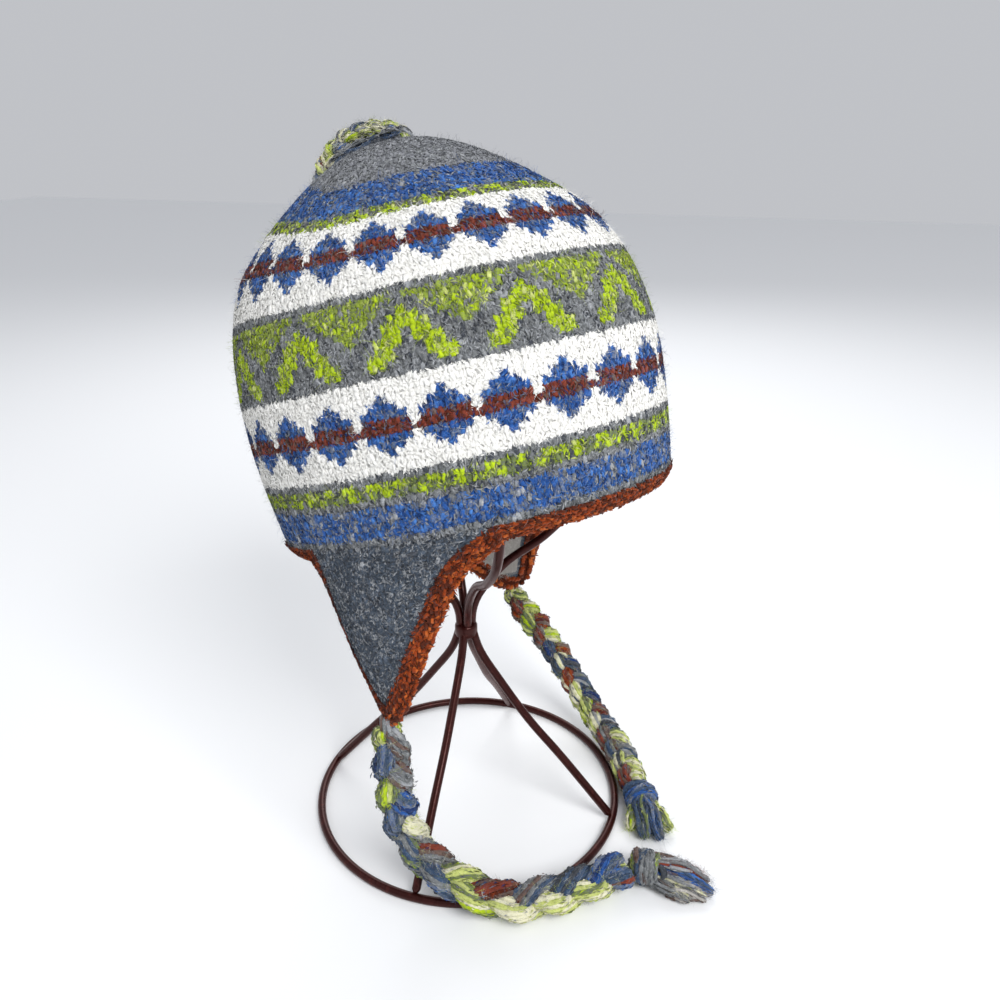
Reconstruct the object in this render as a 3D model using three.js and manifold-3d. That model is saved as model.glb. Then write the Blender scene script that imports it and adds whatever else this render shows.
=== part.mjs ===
// A knitted chullo: a cap with two lined ear flaps, a crochet edging, tie braids and a loop on top,
// shown on its plain wire stand. Millimetres, +Z up. The wearer's front is +X and the right ear -Y.
// The origin is under the middle of the cap and stand without the braids, on the surface that they stand
// on. Places below are given from the centre of the stand's ring, RING_CENTRE.
import * as THREE from "three";
import { mergeVertices } from "three/addons/utils/BufferGeometryUtils.js";
import Module from "manifold-3d";

const wasm = await Module();
wasm.setup();

// Cloth thicknesses, and the clearance that neighbouring pieces keep
const GAP = 0.3;
const KNIT = 4;
const FLEECE = 2;

// Wire stand: a ring, legs and ribs of one wire, bound at a neck
const WIRE_RADIUS = 2;
const WIRE_SIDES = 8;
const RING_RADIUS = 75;
const RING_CENTRE = new THREE.Vector3(5, 1.7, 0);
const RING_STEPS = 48;
const SPOKES = 4;
const RIB_TURN = 33;
const NECK_HEIGHT = 97;
const NECK_RADIUS = 5.4;
const NECK_LENGTH = 7;
const LEG_STEPS = 9;
const RIB_STEPS = 16;
const LEG = [
  { out: 75, up: 1.9 },
  { out: 48, up: 33.5 },
  { out: 32, up: 51 },
  { out: 17, up: 71 },
  { out: 7, up: 86 },
  { out: 2.6, up: 99 },
];
const RIB = [
  { out: 2.6, up: 95 },
  { out: 3.4, up: 107 },
  { out: 6.5, up: 115 },
  { out: 19.5, up: 129.5 },
  { out: 39, up: 141.5 },
  { out: 54, up: 157 },
  { out: 61, up: 180 },
  { out: 61, up: 207 },
  { out: 53, up: 236 },
  { out: 36, up: 264 },
  { out: 14, up: 279 },
  { out: 0, up: 281 },
];

// Cap: where its rim sits, how it leans on the stand, and its wall from the rim to the crown's top.
// Back is how far the soft crown has slumped behind the cap's own axis.
const RIM_CENTRE = new THREE.Vector3(7.3, -5.2, 167.6);
const LEAN_BACK = 16;
const LEAN_LEFT = 9.5;
const SIDE_TO_LENGTH = 0.87;
const AROUND = 40;
const CROWN_ROWS = 13;
const CROWN_CLOSE = 0.94;
const PROFILE = [
  { radius: 85.5, height: 0, back: 0 },
  { radius: 87.5, height: 13, back: 0 },
  { radius: 90, height: 37, back: 0 },
  { radius: 90, height: 62, back: 0 },
  { radius: 85.5, height: 87, back: 1 },
  { radius: 76.5, height: 107, back: 2.5 },
  { radius: 62.5, height: 122, back: 3.5 },
  { radius: 46, height: 135, back: 3.5 },
  { radius: 31, height: 144.5, back: 3.5 },
  { radius: 16, height: 150.5, back: 3.5 },
  { radius: 0, height: 152.5, back: 3.5 },
];

// Ear flaps: angles from the wearer's front, the flare that rounds their top corners, how far their edges
// bow backwards, the curl of the back edge, and their tips
const FLAP_FRONT = 78;
const FLAP_BACK = 124;
const FLARE_FRONT = 9;
const FLARE_BACK = 1;
const FLARE_DEPTH = 0.25;
const BOW_FRONT = 1.5;
const BOW_BACK = 9;
const FLAP_CURL = 8;
const CURL_POWER = 6;
const FLAP_COLUMNS = 16;
const FLAP_ROWS = 8;
const TIP_WIDTH = 7;
const TIP_TURN = 40;
const LINING_CLEAR = 0.9;
const LINING_SIDE = 0.09;
const LINING_TOP = 0.06;
const LINING_BOTTOM = 0.93;
const FLAPS = [
  { side: "right", sign: -1, tip: new THREE.Vector3(-6, -80, 106) },
  { side: "left", sign: 1, tip: new THREE.Vector3(2, 74, 89) },
];

// Crochet edging: an oval cord sewn along the rim, where it rolls under, and along the flaps
const TRIM_ROLL = 38;
const TRIM_CLEAR = 1.6;
const TRIM_WIDE = 6;
const TRIM_THICK = 5;
const TRIM_SIDES = 8;
const TRIM_FRONT_STEPS = 18;
const TRIM_BACK_STEPS = 16;
const TRIM_FLAP_STEPS = 10;
const TRIM_TIP_STEPS = 3;

// Loop of braid on the crown, along the cap's middle: forward of its centre, up from its rim, and its
// thickness, which is greatest where its ends are gathered at the back
const LOOP_SIDES = 10;
const LOOP_STEPS = 16;
const LOOP_CUT_DEPTH = 13;
const LOOP = [
  { forward: -34, up: 141, radius: 6.5 },
  { forward: -33.6, up: 146, radius: 6.2 },
  { forward: -28.6, up: 154.6, radius: 4.8 },
  { forward: -16, up: 160.6, radius: 3.5 },
  { forward: -4.2, up: 159, radius: 3.3 },
  { forward: 3.3, up: 154.6, radius: 3.5 },
  { forward: 6.8, up: 148, radius: 3.7 },
];

// Tie braids: the routes of their centre lines, from the flap tips to the tassels on the surface
const BRAID_RADIUS = { right: 8.3, left: 7.4 };
const BRAID_SIDES = 10;
const BRAID_STEPS = 26;
const BRAID_ROUTES = {
  right: [
    [-5.6, -80, 97.4],
    [-5.2, -79.4, 85],
    [-5.4, -77.6, 69],
    [-5.8, -75, 54],
    [-4.6, -71.8, 40],
    [-0.4, -71, 29.4],
    [6.7, -71.2, 20.8],
    [16.7, -71.8, 14.8],
    [30, -73.4, 12.4],
    [44, -72, 10.2],
    [57, -63.8, 9],
    [70.4, -53.6, 8.9],
    [81.6, -43.4, 8.9],
    [88.6, -37.8, 8.9],
  ],
  left: [
    [2, 74, 80.2],
    [3.6, 74, 74.4],
    [9.5, 73.8, 66.8],
    [18.6, 74.2, 55.5],
    [28.5, 74.4, 41.5],
    [39, 71, 28.8],
    [49.6, 63.8, 19.4],
    [60, 54.4, 12.8],
    [70, 43.2, 9.8],
    [78.2, 28.8, 8.3],
    [83.4, 19.6, 8],
  ],
};

// Tassels: a wrapped knot and the locks of yarn that spread from it on the surface
const FLOOR_CLEAR = 0.4;
const LOCK_SIDES = 8;
const LOCK_STEPS = 5;
const LOCK_BASE_SIZE = 0.7;
const LOCK_END_SIZE = 0.45;
const LOCK_SWELL_BIAS = 0.7;
const KNOT_TURNS = 12;
const KNOT_RINGS = 8;
const TASSELS = {
  right: {
    knot: { x: 96.2, y: -33.6, z: 8.2, long: 6.8, wide: 8, high: 7.6 },
    locks: [
      { turn: 30, length: 26, wide: 9, high: 9, rise: 5, bend: -22 },
      { turn: 16, length: 29, wide: 10, high: 10, rise: 7, bend: -10 },
      { turn: 0, length: 31, wide: 10, high: 9, rise: 2, bend: 0 },
      { turn: -16, length: 29, wide: 10, high: 9, rise: 0, bend: 14 },
      { turn: -32, length: 23, wide: 9, high: 8, rise: 0, bend: 24 },
    ],
  },
  left: {
    knot: { x: 87.2, y: 10.8, z: 8.4, long: 7, wide: 8.4, high: 8 },
    locks: [
      { turn: -102, length: 18, wide: 10, high: 10, rise: 1, bend: 10 },
      { turn: -82, length: 22, wide: 11, high: 11, rise: 4, bend: 16 },
      { turn: -62, length: 24, wide: 11, high: 11, rise: 5, bend: 12 },
      { turn: -40, length: 21, wide: 10, high: 10, rise: 2, bend: 8 },
    ],
  },
};

const radians = THREE.MathUtils.degToRad;

// A body from numbered points and triangles, turned so that its faces point outward.
function body(points, triangles) {
  let volume = 0;
  for (const [a, b, c] of triangles) {
    volume += points[a].dot(points[b].clone().cross(points[c]));
  }
  const faces = volume > 0 ? triangles : triangles.map(([a, b, c]) => [a, c, b]);
  const geometry = new THREE.BufferGeometry().setFromPoints(points);
  geometry.setIndex(faces.flat());
  return geometry;
}

// A wall between an outer and an inner skin, each a list of rows of points. With tops, the rows run
// right round and each skin closes on its own top point; without, the wall is an open panel.
function wall(outer, inner, tops) {
  const rows = outer.length;
  const columns = outer[0].length;
  const points = [...outer.flat(), ...inner.flat()];
  const at = (skin, row, column) => (skin * rows + row) * columns + (column % columns);
  const triangles = [];
  const quad = (a, b, c, d) => triangles.push([a, b, c], [a, c, d]);
  const spans = tops ? columns : columns - 1;
  const high = rows - 1;
  for (let column = 0; column < spans; column += 1) {
    const next = column + 1;
    for (let row = 0; row < high; row += 1) {
      quad(at(0, row, column), at(0, row, next), at(0, row + 1, next), at(0, row + 1, column));
      quad(at(1, row, column), at(1, row + 1, column), at(1, row + 1, next), at(1, row, next));
    }
    quad(at(0, 0, column), at(1, 0, column), at(1, 0, next), at(0, 0, next));
    if (tops) {
      triangles.push([at(0, high, column), at(0, high, next), points.length]);
      triangles.push([at(1, high, next), at(1, high, column), points.length + 1]);
    } else {
      quad(at(0, high, column), at(0, high, next), at(1, high, next), at(1, high, column));
    }
  }
  if (tops) {
    points.push(...tops);
    return body(points, triangles);
  }
  for (let row = 0; row < high; row += 1) {
    quad(at(0, row, 0), at(0, row + 1, 0), at(1, row + 1, 0), at(1, row, 0));
    quad(at(0, row, spans), at(1, row, spans), at(1, row + 1, spans), at(0, row + 1, spans));
  }
  return body(points, triangles);
}

// A rod through rings of points, joined end to end if it is a loop and capped if it isn't.
function rod(rings, loop) {
  const sides = rings[0].length;
  const points = rings.flat();
  const at = (ring, side) => (ring % rings.length) * sides + (side % sides);
  const triangles = [];
  const spans = loop ? rings.length : rings.length - 1;
  for (let ring = 0; ring < spans; ring += 1) {
    for (let side = 0; side < sides; side += 1) {
      triangles.push([at(ring, side), at(ring, side + 1), at(ring + 1, side + 1)]);
      triangles.push([at(ring, side), at(ring + 1, side + 1), at(ring + 1, side)]);
    }
  }
  if (!loop) {
    for (let side = 1; side < sides - 1; side += 1) {
      triangles.push([at(0, 0), at(0, side + 1), at(0, side)]);
      triangles.push([at(spans, 0), at(spans, side), at(spans, side + 1)]);
    }
  }
  return body(points, triangles);
}

// An oval ring of points about a centre, with its two half sizes given as vectors.
function ovalRing(centre, acrossHalf, overHalf, sides) {
  return Array.from({ length: sides }, (_, side) => {
    const turn = ((side + 0.5) / sides) * 2 * Math.PI;
    return centre.clone()
      .addScaledVector(acrossHalf, Math.cos(turn))
      .addScaledVector(overHalf, Math.sin(turn));
  });
}

// A round tube along a smooth curve through the points.
function tube(points, radius, sides, steps) {
  const outline = Array.from({ length: sides }, (_, side) => {
    const turn = ((side + 0.5) / sides) * 2 * Math.PI;
    return new THREE.Vector2(radius * Math.cos(turn), radius * Math.sin(turn));
  });
  return new THREE.ExtrudeGeometry(new THREE.Shape(outline), {
    extrudePath: new THREE.CatmullRomCurve3(points, false, "centripetal"),
    steps,
    bevelEnabled: false,
  });
}

function toSolid(geometry) {
  const bare = new THREE.BufferGeometry();
  bare.setAttribute("position", geometry.getAttribute("position").clone());
  bare.setIndex(geometry.index);
  const merged = mergeVertices(bare);
  return new wasm.Manifold(new wasm.Mesh({
    numProp: 3,
    vertProperties: Float32Array.from(merged.getAttribute("position").array),
    triVerts: Uint32Array.from(merged.index.array),
  }));
}

function toGeometry(solid) {
  const mesh = solid.getMesh();
  const geometry = new THREE.BufferGeometry();
  geometry.setAttribute("position", new THREE.BufferAttribute(mesh.vertProperties, 3));
  geometry.setIndex(new THREE.BufferAttribute(mesh.triVerts, 1));
  return geometry;
}

function fuse(geometries) {
  return toGeometry(geometries.map(toSolid).reduce((whole, piece) => whole.add(piece)));
}

// The cap's own axes: up from the rim to the crown's top, forward to the brow, and to the left ear
const UP = new THREE.Vector3(-Math.tan(radians(LEAN_BACK)), Math.tan(radians(LEAN_LEFT)), 1).normalize();
const FORWARD = new THREE.Vector3(1, 0, 0).addScaledVector(UP, -UP.x).normalize();
const LEFT = UP.clone().cross(FORWARD);
const profile = new THREE.SplineCurve(PROFILE.map((row) => new THREE.Vector2(row.radius, row.height)));
const slump = new THREE.SplineCurve(PROFILE.map((row) => new THREE.Vector2(row.back, row.height)));

function capPoint(forward, left, up) {
  return RIM_CENTRE.clone()
    .addScaledVector(FORWARD, forward)
    .addScaledVector(LEFT, left)
    .addScaledVector(UP, up);
}

// A point on the cap: share of the way from rim to top, turn in degrees from the front, depth under
// the knit's face (negative depths are outside it).
function crownPoint(share, turn, depth) {
  const { x: radius, y: height } = profile.getPointAt(share);
  const along = profile.getTangentAt(share);
  const draw = depth * along.y;
  return capPoint(
    Math.max(0, radius - draw) * Math.cos(radians(turn)) - slump.getPoint(profile.getUtoTmapping(share)).x,
    Math.max(0, radius * SIDE_TO_LENGTH - draw) * Math.sin(radians(turn)),
    height + depth * along.x,
  );
}

function crownRows(depth) {
  return Array.from({ length: CROWN_ROWS + 1 }, (_, row) =>
    Array.from({ length: AROUND }, (_, column) =>
      crownPoint((row / CROWN_ROWS) * CROWN_CLOSE, (column / AROUND) * 360, depth)));
}

function crownTop(depth) {
  return capPoint(-PROFILE.at(-1).back, 0, PROFILE.at(-1).height - depth);
}

function makeCrown() {
  return wall(crownRows(0), crownRows(KNIT), [crownTop(0), crownTop(KNIT)]);
}

// The loop's two feet stop just above the crown's face.
function makeLoop() {
  const places = LOOP.map((row) => capPoint(row.forward, 0, row.up));
  const route = new THREE.CatmullRomCurve3(places, false, "centripetal");
  const rings = Array.from({ length: LOOP_STEPS + 1 }, (_, step) => {
    const share = step / LOOP_STEPS;
    const row = Math.min(Math.floor(share * (LOOP.length - 1)), LOOP.length - 2);
    const past = share * (LOOP.length - 1) - row;
    const radius = THREE.MathUtils.lerp(LOOP[row].radius, LOOP[row + 1].radius, past);
    const over = route.getTangent(share).cross(LEFT).setLength(radius);
    return ovalRing(route.getPoint(share), LEFT.clone().setLength(radius), over, LOOP_SIDES);
  });
  const face = wall(crownRows(-GAP), crownRows(LOOP_CUT_DEPTH), [crownTop(-GAP), crownTop(LOOP_CUT_DEPTH)]);
  return toGeometry(toSolid(rod(rings, false)).subtract(toSolid(face)));
}

// The horizontal way into the cap at a turn of its rim.
function inwardAt(turn) {
  return FORWARD.clone().multiplyScalar(-SIDE_TO_LENGTH * Math.cos(radians(turn)))
    .addScaledVector(LEFT, -Math.sin(radians(turn)))
    .normalize();
}

function flapTurn(flap, across, down) {
  const flare = THREE.MathUtils.lerp(-FLARE_FRONT, FLARE_BACK, across) * Math.max(0, 1 - down / FLARE_DEPTH) ** 2;
  return flap.sign * (THREE.MathUtils.lerp(FLAP_FRONT, FLAP_BACK, across) + flare);
}

function flapInward(flap, across, down) {
  return inwardAt(flapTurn(flap, across, down))
    .multiplyScalar(1 - down)
    .addScaledVector(new THREE.Vector3(0, -flap.sign, 0), down)
    .normalize();
}

// A point on a flap: across from its front edge to its back one, which curls in, and down from the rim
// to the tip.
function flapPoint(flap, across, down, depth) {
  const top = crownPoint(0, flapTurn(flap, across, down), 0).addScaledVector(UP, -GAP);
  const tip = flap.tip.clone();
  tip.x += (0.5 - across) * TIP_WIDTH * Math.cos(radians(TIP_TURN));
  tip.y += (0.5 - across) * TIP_WIDTH * Math.sin(radians(TIP_TURN)) * flap.sign;
  const swell = Math.sin(Math.PI * down);
  const point = top.lerp(tip, down);
  point.x -= (BOW_BACK * across ** 1.5 + BOW_FRONT * (1 - across) ** 2) * swell;
  const curl = FLAP_CURL * across ** CURL_POWER * swell;
  return point.addScaledVector(flapInward(flap, across, down), depth + curl);
}

// The way into the cap at a place on a flap, square to its curled face.
function flapFacing(flap, across, down) {
  const step = 0.02;
  const over = flapPoint(flap, Math.min(1, across + step), down, 0)
    .sub(flapPoint(flap, Math.max(0, across - step), down, 0));
  const along = flapPoint(flap, across, Math.min(1, down + step), 0)
    .sub(flapPoint(flap, across, Math.max(0, down - step), 0));
  return over.cross(along).setLength(1).multiplyScalar(flap.sign);
}

function flapRows(flap, depth, inset, first, last) {
  return Array.from({ length: FLAP_ROWS + 1 }, (_, row) =>
    Array.from({ length: FLAP_COLUMNS + 1 }, (_, column) => flapPoint(
      flap,
      THREE.MathUtils.lerp(inset, 1 - inset, column / FLAP_COLUMNS),
      THREE.MathUtils.lerp(first, last, row / FLAP_ROWS),
      depth,
    )));
}

function makeFlap(flap) {
  return wall(flapRows(flap, 0, 0, 0, 1), flapRows(flap, KNIT, 0, 0, 1));
}

function makeFlapLining(flap) {
  const rows = (depth) => flapRows(flap, depth, LINING_SIDE, LINING_TOP, LINING_BOTTOM);
  return wall(rows(KNIT + LINING_CLEAR), rows(KNIT + LINING_CLEAR + FLEECE));
}

// The cap's whole lower edge in order, mid-knit: front rim, left flap, back rim, right flap.
function edgeRun() {
  const middle = KNIT / 2;
  const run = [];
  const rim = (from, to, steps) => {
    for (let step = 0; step <= steps; step += 1) {
      const turn = THREE.MathUtils.lerp(from, to, step / steps);
      const inward = inwardAt(turn)
        .multiplyScalar(Math.cos(radians(TRIM_ROLL)))
        .addScaledVector(UP, Math.sin(radians(TRIM_ROLL)));
      run.push({ at: crownPoint(0, turn, middle), inward });
    }
  };
  const flapEdge = (flap, across, down) =>
    run.push({ at: flapPoint(flap, across, down, middle), inward: flapFacing(flap, across, down) });
  const flapRun = (flap, first) => {
    for (let step = 1; step <= TRIM_FLAP_STEPS; step += 1) {
      flapEdge(flap, first, step / TRIM_FLAP_STEPS);
    }
    for (let step = 1; step < TRIM_TIP_STEPS; step += 1) {
      flapEdge(flap, Math.abs(first - step / TRIM_TIP_STEPS), 1);
    }
    for (let step = TRIM_FLAP_STEPS; step >= 1; step -= 1) {
      flapEdge(flap, 1 - first, step / TRIM_FLAP_STEPS);
    }
  };
  const front = FLAP_FRONT - FLARE_FRONT;
  const back = FLAP_BACK + FLARE_BACK;
  const [right, left] = FLAPS;
  rim(-front, front, TRIM_FRONT_STEPS);
  flapRun(left, 0);
  rim(back, 360 - back, TRIM_BACK_STEPS);
  flapRun(right, 1);
  return run;
}

function makeTrim() {
  const run = edgeRun();
  const rings = run.map(({ at, inward }, step) => {
    const before = run[(step + run.length - 1) % run.length].at;
    const after = run[(step + 1) % run.length].at;
    const outward = inward.clone().cross(after.clone().sub(before)).normalize();
    const centre = at.clone().addScaledVector(outward, TRIM_CLEAR + TRIM_WIDE / 2);
    return ovalRing(
      centre,
      outward.multiplyScalar(TRIM_WIDE / 2),
      inward.clone().multiplyScalar(TRIM_THICK / 2),
      TRIM_SIDES,
    );
  });
  return rod(rings, true);
}

function makeBraid(side) {
  const route = BRAID_ROUTES[side].map((point) => new THREE.Vector3(...point));
  return tube(route, BRAID_RADIUS[side], BRAID_SIDES, BRAID_STEPS);
}

// A lock of yarn from the knot's middle: it swells, bends and tapers to a blunt end.
function makeLock(knot, lock) {
  const rings = [];
  const centre = new THREE.Vector3(knot.x, knot.y, 0);
  for (let step = 0; step <= LOCK_STEPS; step += 1) {
    const share = step / LOCK_STEPS;
    const heading = radians(lock.turn + lock.bend * share);
    const along = new THREE.Vector3(Math.cos(heading), Math.sin(heading), 0);
    const across = new THREE.Vector3(-Math.sin(heading), Math.cos(heading), 0);
    const taper = THREE.MathUtils.lerp(LOCK_BASE_SIZE, LOCK_END_SIZE, share);
    const size = taper + (1 - taper) * Math.sin(Math.PI * share ** LOCK_SWELL_BIAS);
    const lift = FLOOR_CLEAR + (lock.high / 2) * size + lock.rise * (1 - share);
    rings.push(ovalRing(
      centre.clone().setZ(lift),
      across.multiplyScalar((lock.wide / 2) * size),
      new THREE.Vector3(0, 0, (lock.high / 2) * size),
      LOCK_SIDES,
    ));
    centre.addScaledVector(along, lock.length / LOCK_STEPS);
  }
  return rod(rings, false);
}

function makeTassel({ knot, locks }) {
  const ball = new THREE.SphereGeometry(1, KNOT_TURNS, KNOT_RINGS);
  ball.scale(knot.long, knot.wide, knot.high);
  ball.translate(knot.x, knot.y, knot.z);
  return fuse([ball, ...locks.map((lock) => makeLock(knot, lock))]);
}

// Ring, legs, neck binding and ribs, welded into one. The ring's wire has a flat under it.
function makeStand() {
  const section = Array.from({ length: WIRE_SIDES + 1 }, (_, side) => {
    const turn = ((side + 0.5) / WIRE_SIDES) * 2 * Math.PI;
    return new THREE.Vector2(RING_RADIUS + WIRE_RADIUS * Math.cos(turn), WIRE_RADIUS * Math.sin(turn));
  });
  const flat = WIRE_RADIUS * Math.cos(Math.PI / WIRE_SIDES);
  const ring = new THREE.LatheGeometry(section, RING_STEPS).rotateX(Math.PI / 2).translate(0, 0, flat);
  const neck = new THREE.CylinderGeometry(NECK_RADIUS, NECK_RADIUS, NECK_LENGTH, 2 * WIRE_SIDES)
    .rotateX(Math.PI / 2)
    .translate(0, 0, NECK_HEIGHT);
  const pieces = [ring, neck];
  const spoke = (table, turn, steps) => {
    const heading = radians(turn);
    const points = table.map(({ out, up }) =>
      new THREE.Vector3(out * Math.cos(heading), out * Math.sin(heading), up));
    return tube(points, WIRE_RADIUS * Math.cos(Math.PI / WIRE_SIDES), WIRE_SIDES, steps);
  };
  for (let index = 0; index < SPOKES; index += 1) {
    const turn = (index / SPOKES) * 360;
    pieces.push(spoke(LEG, turn, LEG_STEPS), spoke(RIB, turn + RIB_TURN, RIB_STEPS));
  }
  return fuse(pieces);
}

const wool = (color) => new THREE.MeshStandardMaterial({ color, roughness: 0.95, metalness: 0 });
const looks = {
  knit: wool(0x8a8f96),
  flap: wool(0x63676d),
  fleece: wool(0xaaa8a5),
  crochet: wool(0x9c3c16),
  braid: wool(0x5f7f8f),
  tassel: wool(0x7d7c78),
  bronze: new THREE.MeshStandardMaterial({ color: 0x3a211a, roughness: 0.35, metalness: 0.8 }),
};

const chullo = new THREE.Group();
chullo.position.copy(RING_CENTRE);

function addPiece(name, geometry, material) {
  const piece = new THREE.Mesh(geometry, material);
  piece.name = name;
  chullo.add(piece);
}

addPiece("crown", makeCrown(), looks.knit);
addPiece("crown_loop", makeLoop(), looks.braid);
addPiece("edge_trim", makeTrim(), looks.crochet);
for (const flap of FLAPS) {
  addPiece(`ear_flap_${flap.side}`, makeFlap(flap), looks.flap);
  addPiece(`flap_lining_${flap.side}`, makeFlapLining(flap), looks.fleece);
  addPiece(`braid_${flap.side}`, makeBraid(flap.side), looks.braid);
  addPiece(`tassel_${flap.side}`, makeTassel(TASSELS[flap.side]), looks.tassel);
}
addPiece("hat_stand", makeStand(), looks.bronze);

export default chullo;
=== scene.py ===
"""A knitted chullo on its plain wire stand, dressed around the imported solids.

Lengths are in millimetres from the centre of the stand's ring until a mesh is made, and in metres after that.
+Z is up, +X is the wearer's front and -Y the wearer's right ear.
"""
import math

import bpy
import numpy as np
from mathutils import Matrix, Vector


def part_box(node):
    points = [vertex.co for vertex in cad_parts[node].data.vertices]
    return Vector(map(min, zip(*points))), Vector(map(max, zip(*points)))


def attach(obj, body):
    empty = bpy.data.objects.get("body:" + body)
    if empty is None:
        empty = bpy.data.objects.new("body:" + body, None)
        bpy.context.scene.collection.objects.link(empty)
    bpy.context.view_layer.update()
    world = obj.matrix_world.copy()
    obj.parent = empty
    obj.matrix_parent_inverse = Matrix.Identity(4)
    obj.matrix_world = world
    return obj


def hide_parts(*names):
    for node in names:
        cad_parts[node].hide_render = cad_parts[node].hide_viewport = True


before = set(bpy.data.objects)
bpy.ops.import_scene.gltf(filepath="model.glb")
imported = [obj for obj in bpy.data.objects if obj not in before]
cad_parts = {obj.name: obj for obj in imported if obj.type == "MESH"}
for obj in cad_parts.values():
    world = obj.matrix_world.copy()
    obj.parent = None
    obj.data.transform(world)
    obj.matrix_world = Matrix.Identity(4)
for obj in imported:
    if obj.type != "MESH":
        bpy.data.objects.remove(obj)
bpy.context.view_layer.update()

BODY = "root"
MM = 0.001
stand_low, stand_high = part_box("hat_stand")
RING_CENTRE = np.array([(stand_low.x + stand_high.x) / 2, (stand_low.y + stand_high.y) / 2, 0.0])

# View
FOCAL_LENGTH = 32.4
SENSOR = 36.0
CAMERA_AT = (123.9, -350.1, 322.0)
CAMERA_TILT = 66.9
CAMERA_TURN = 17.0

# Cap: the wall's section from rim to top, as radius, height and how far it has slumped back
RIM_CENTRE = np.array([7.3, -5.2, 167.6])
LEAN_BACK = math.radians(16)
LEAN_LEFT = math.radians(9.5)
SIDE_TO_LENGTH = 0.87
KNIT = 4.0
PROFILE = np.array([
    (85.5, 0, 0),
    (87.5, 13, 0),
    (90, 37, 0),
    (90, 62, 0),
    (85.5, 87, 1),
    (76.5, 107, 2.5),
    (62.5, 122, 3.5),
    (46, 135, 3.5),
    (31, 144.5, 3.5),
    (16, 150.5, 3.5),
    (0, 152.5, 3.5),
])

# Ear flaps
GAP = 0.3
FLAP_FRONT = 78
FLAP_BACK = 124
FLARE_FRONT = 9
FLARE_BACK = 1
FLARE_DEPTH = 0.25
BOW_FRONT = 1.5
BOW_BACK = 9
FLAP_CURL = 8
CURL_POWER = 6
TIP_WIDTH = 7
TIP_TURN = math.radians(40)
LINING_CLEAR = 0.9
LINING_SIDE = 0.09
LINING_TOP = 0.06
LINING_BOTTOM = 0.93
FLEECE = 2.0
FLAPS = {
    "right": {"sign": -1, "tip": np.array([-6, -80, 106])},
    "left": {"sign": 1, "tip": np.array([2, 74, 89])},
}

# Crochet edging
TRIM_CLEAR = 1.6
TRIM_WIDE = 6.0
TRIM_ROLL = math.radians(38)

# Tie braids: the routes of their centre lines, from the flap tips to the tassels
BRAID_RADIUS = {"right": 8.3, "left": 7.4}
BRAID_ROUTES = {
    "right": [
        (-5.6, -80, 97.4),
        (-5.2, -79.4, 85),
        (-5.4, -77.6, 69),
        (-5.8, -75, 54),
        (-4.6, -71.8, 40),
        (-0.4, -71, 29.4),
        (6.7, -71.2, 20.8),
        (16.7, -71.8, 14.8),
        (30, -73.4, 12.4),
        (44, -72, 10.2),
        (57, -63.8, 9),
        (70.4, -53.6, 8.9),
        (81.6, -43.4, 8.9),
        (88.6, -37.8, 8.9),
    ],
    "left": [
        (2, 74, 80.2),
        (3.6, 74, 74.4),
        (9.5, 73.8, 66.8),
        (18.6, 74.2, 55.5),
        (28.5, 74.4, 41.5),
        (39, 71, 28.8),
        (49.6, 63.8, 19.4),
        (60, 54.4, 12.8),
        (70, 43.2, 9.8),
        (78.2, 28.8, 8.3),
        (83.4, 19.6, 8),
    ],
}

# Loop of braid on the crown: forward of the cap's middle, up from its rim, and its radius
LOOP = [
    (-34, 141, 6.5),
    (-33.6, 146, 6.2),
    (-28.6, 154.6, 4.8),
    (-16, 160.6, 3.5),
    (-4.2, 159, 3.3),
    (3.3, 154.6, 3.5),
    (6.8, 148, 3.7),
]

# Tassels: each knot's place and half sizes, and its locks as turn, length, width, height, rise and bend
FLOOR_CLEAR = 0.4
LOCK_BASE_SIZE = 0.7
LOCK_END_SIZE = 0.45
LOCK_SWELL_BIAS = 0.7
TASSELS = {
    "right": {
        "knot": (96.2, -33.6, 8.2),
        "half": (6.8, 8, 7.6),
        "locks": [
            (30, 26, 9, 9, 5, -22),
            (16, 29, 10, 10, 7, -10),
            (0, 31, 10, 9, 2, 0),
            (-16, 29, 10, 9, 0, 14),
            (-32, 23, 9, 8, 0, 24),
        ],
    },
    "left": {
        "knot": (87.2, 10.8, 8.4),
        "half": (7, 8.4, 8),
        "locks": [
            (-102, 18, 10, 10, 1, 10),
            (-82, 22, 11, 11, 4, 16),
            (-62, 24, 11, 11, 5, 12),
            (-40, 21, 10, 10, 2, 8),
        ],
    },
}

# Wire stand: leg and rib sections as distance out from the middle and height
WIRE_RADIUS = 2.0
RING_RADIUS = 75.0
NECK_HEIGHT = 97.0
NECK_RADIUS = 5.4
NECK_LENGTH = 7.0
SPOKES = 4
RIB_TURN = 33
LEG = [(75, 1.9), (48, 33.5), (32, 51), (17, 71), (7, 86), (2.6, 99)]
RIB = [
    (2.6, 95),
    (3.4, 107),
    (6.5, 115),
    (19.5, 129.5),
    (39, 141.5),
    (54, 157),
    (61, 180),
    (61, 207),
    (53, 236),
    (36, 264),
    (14, 279),
    (0, 281),
]

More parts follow.
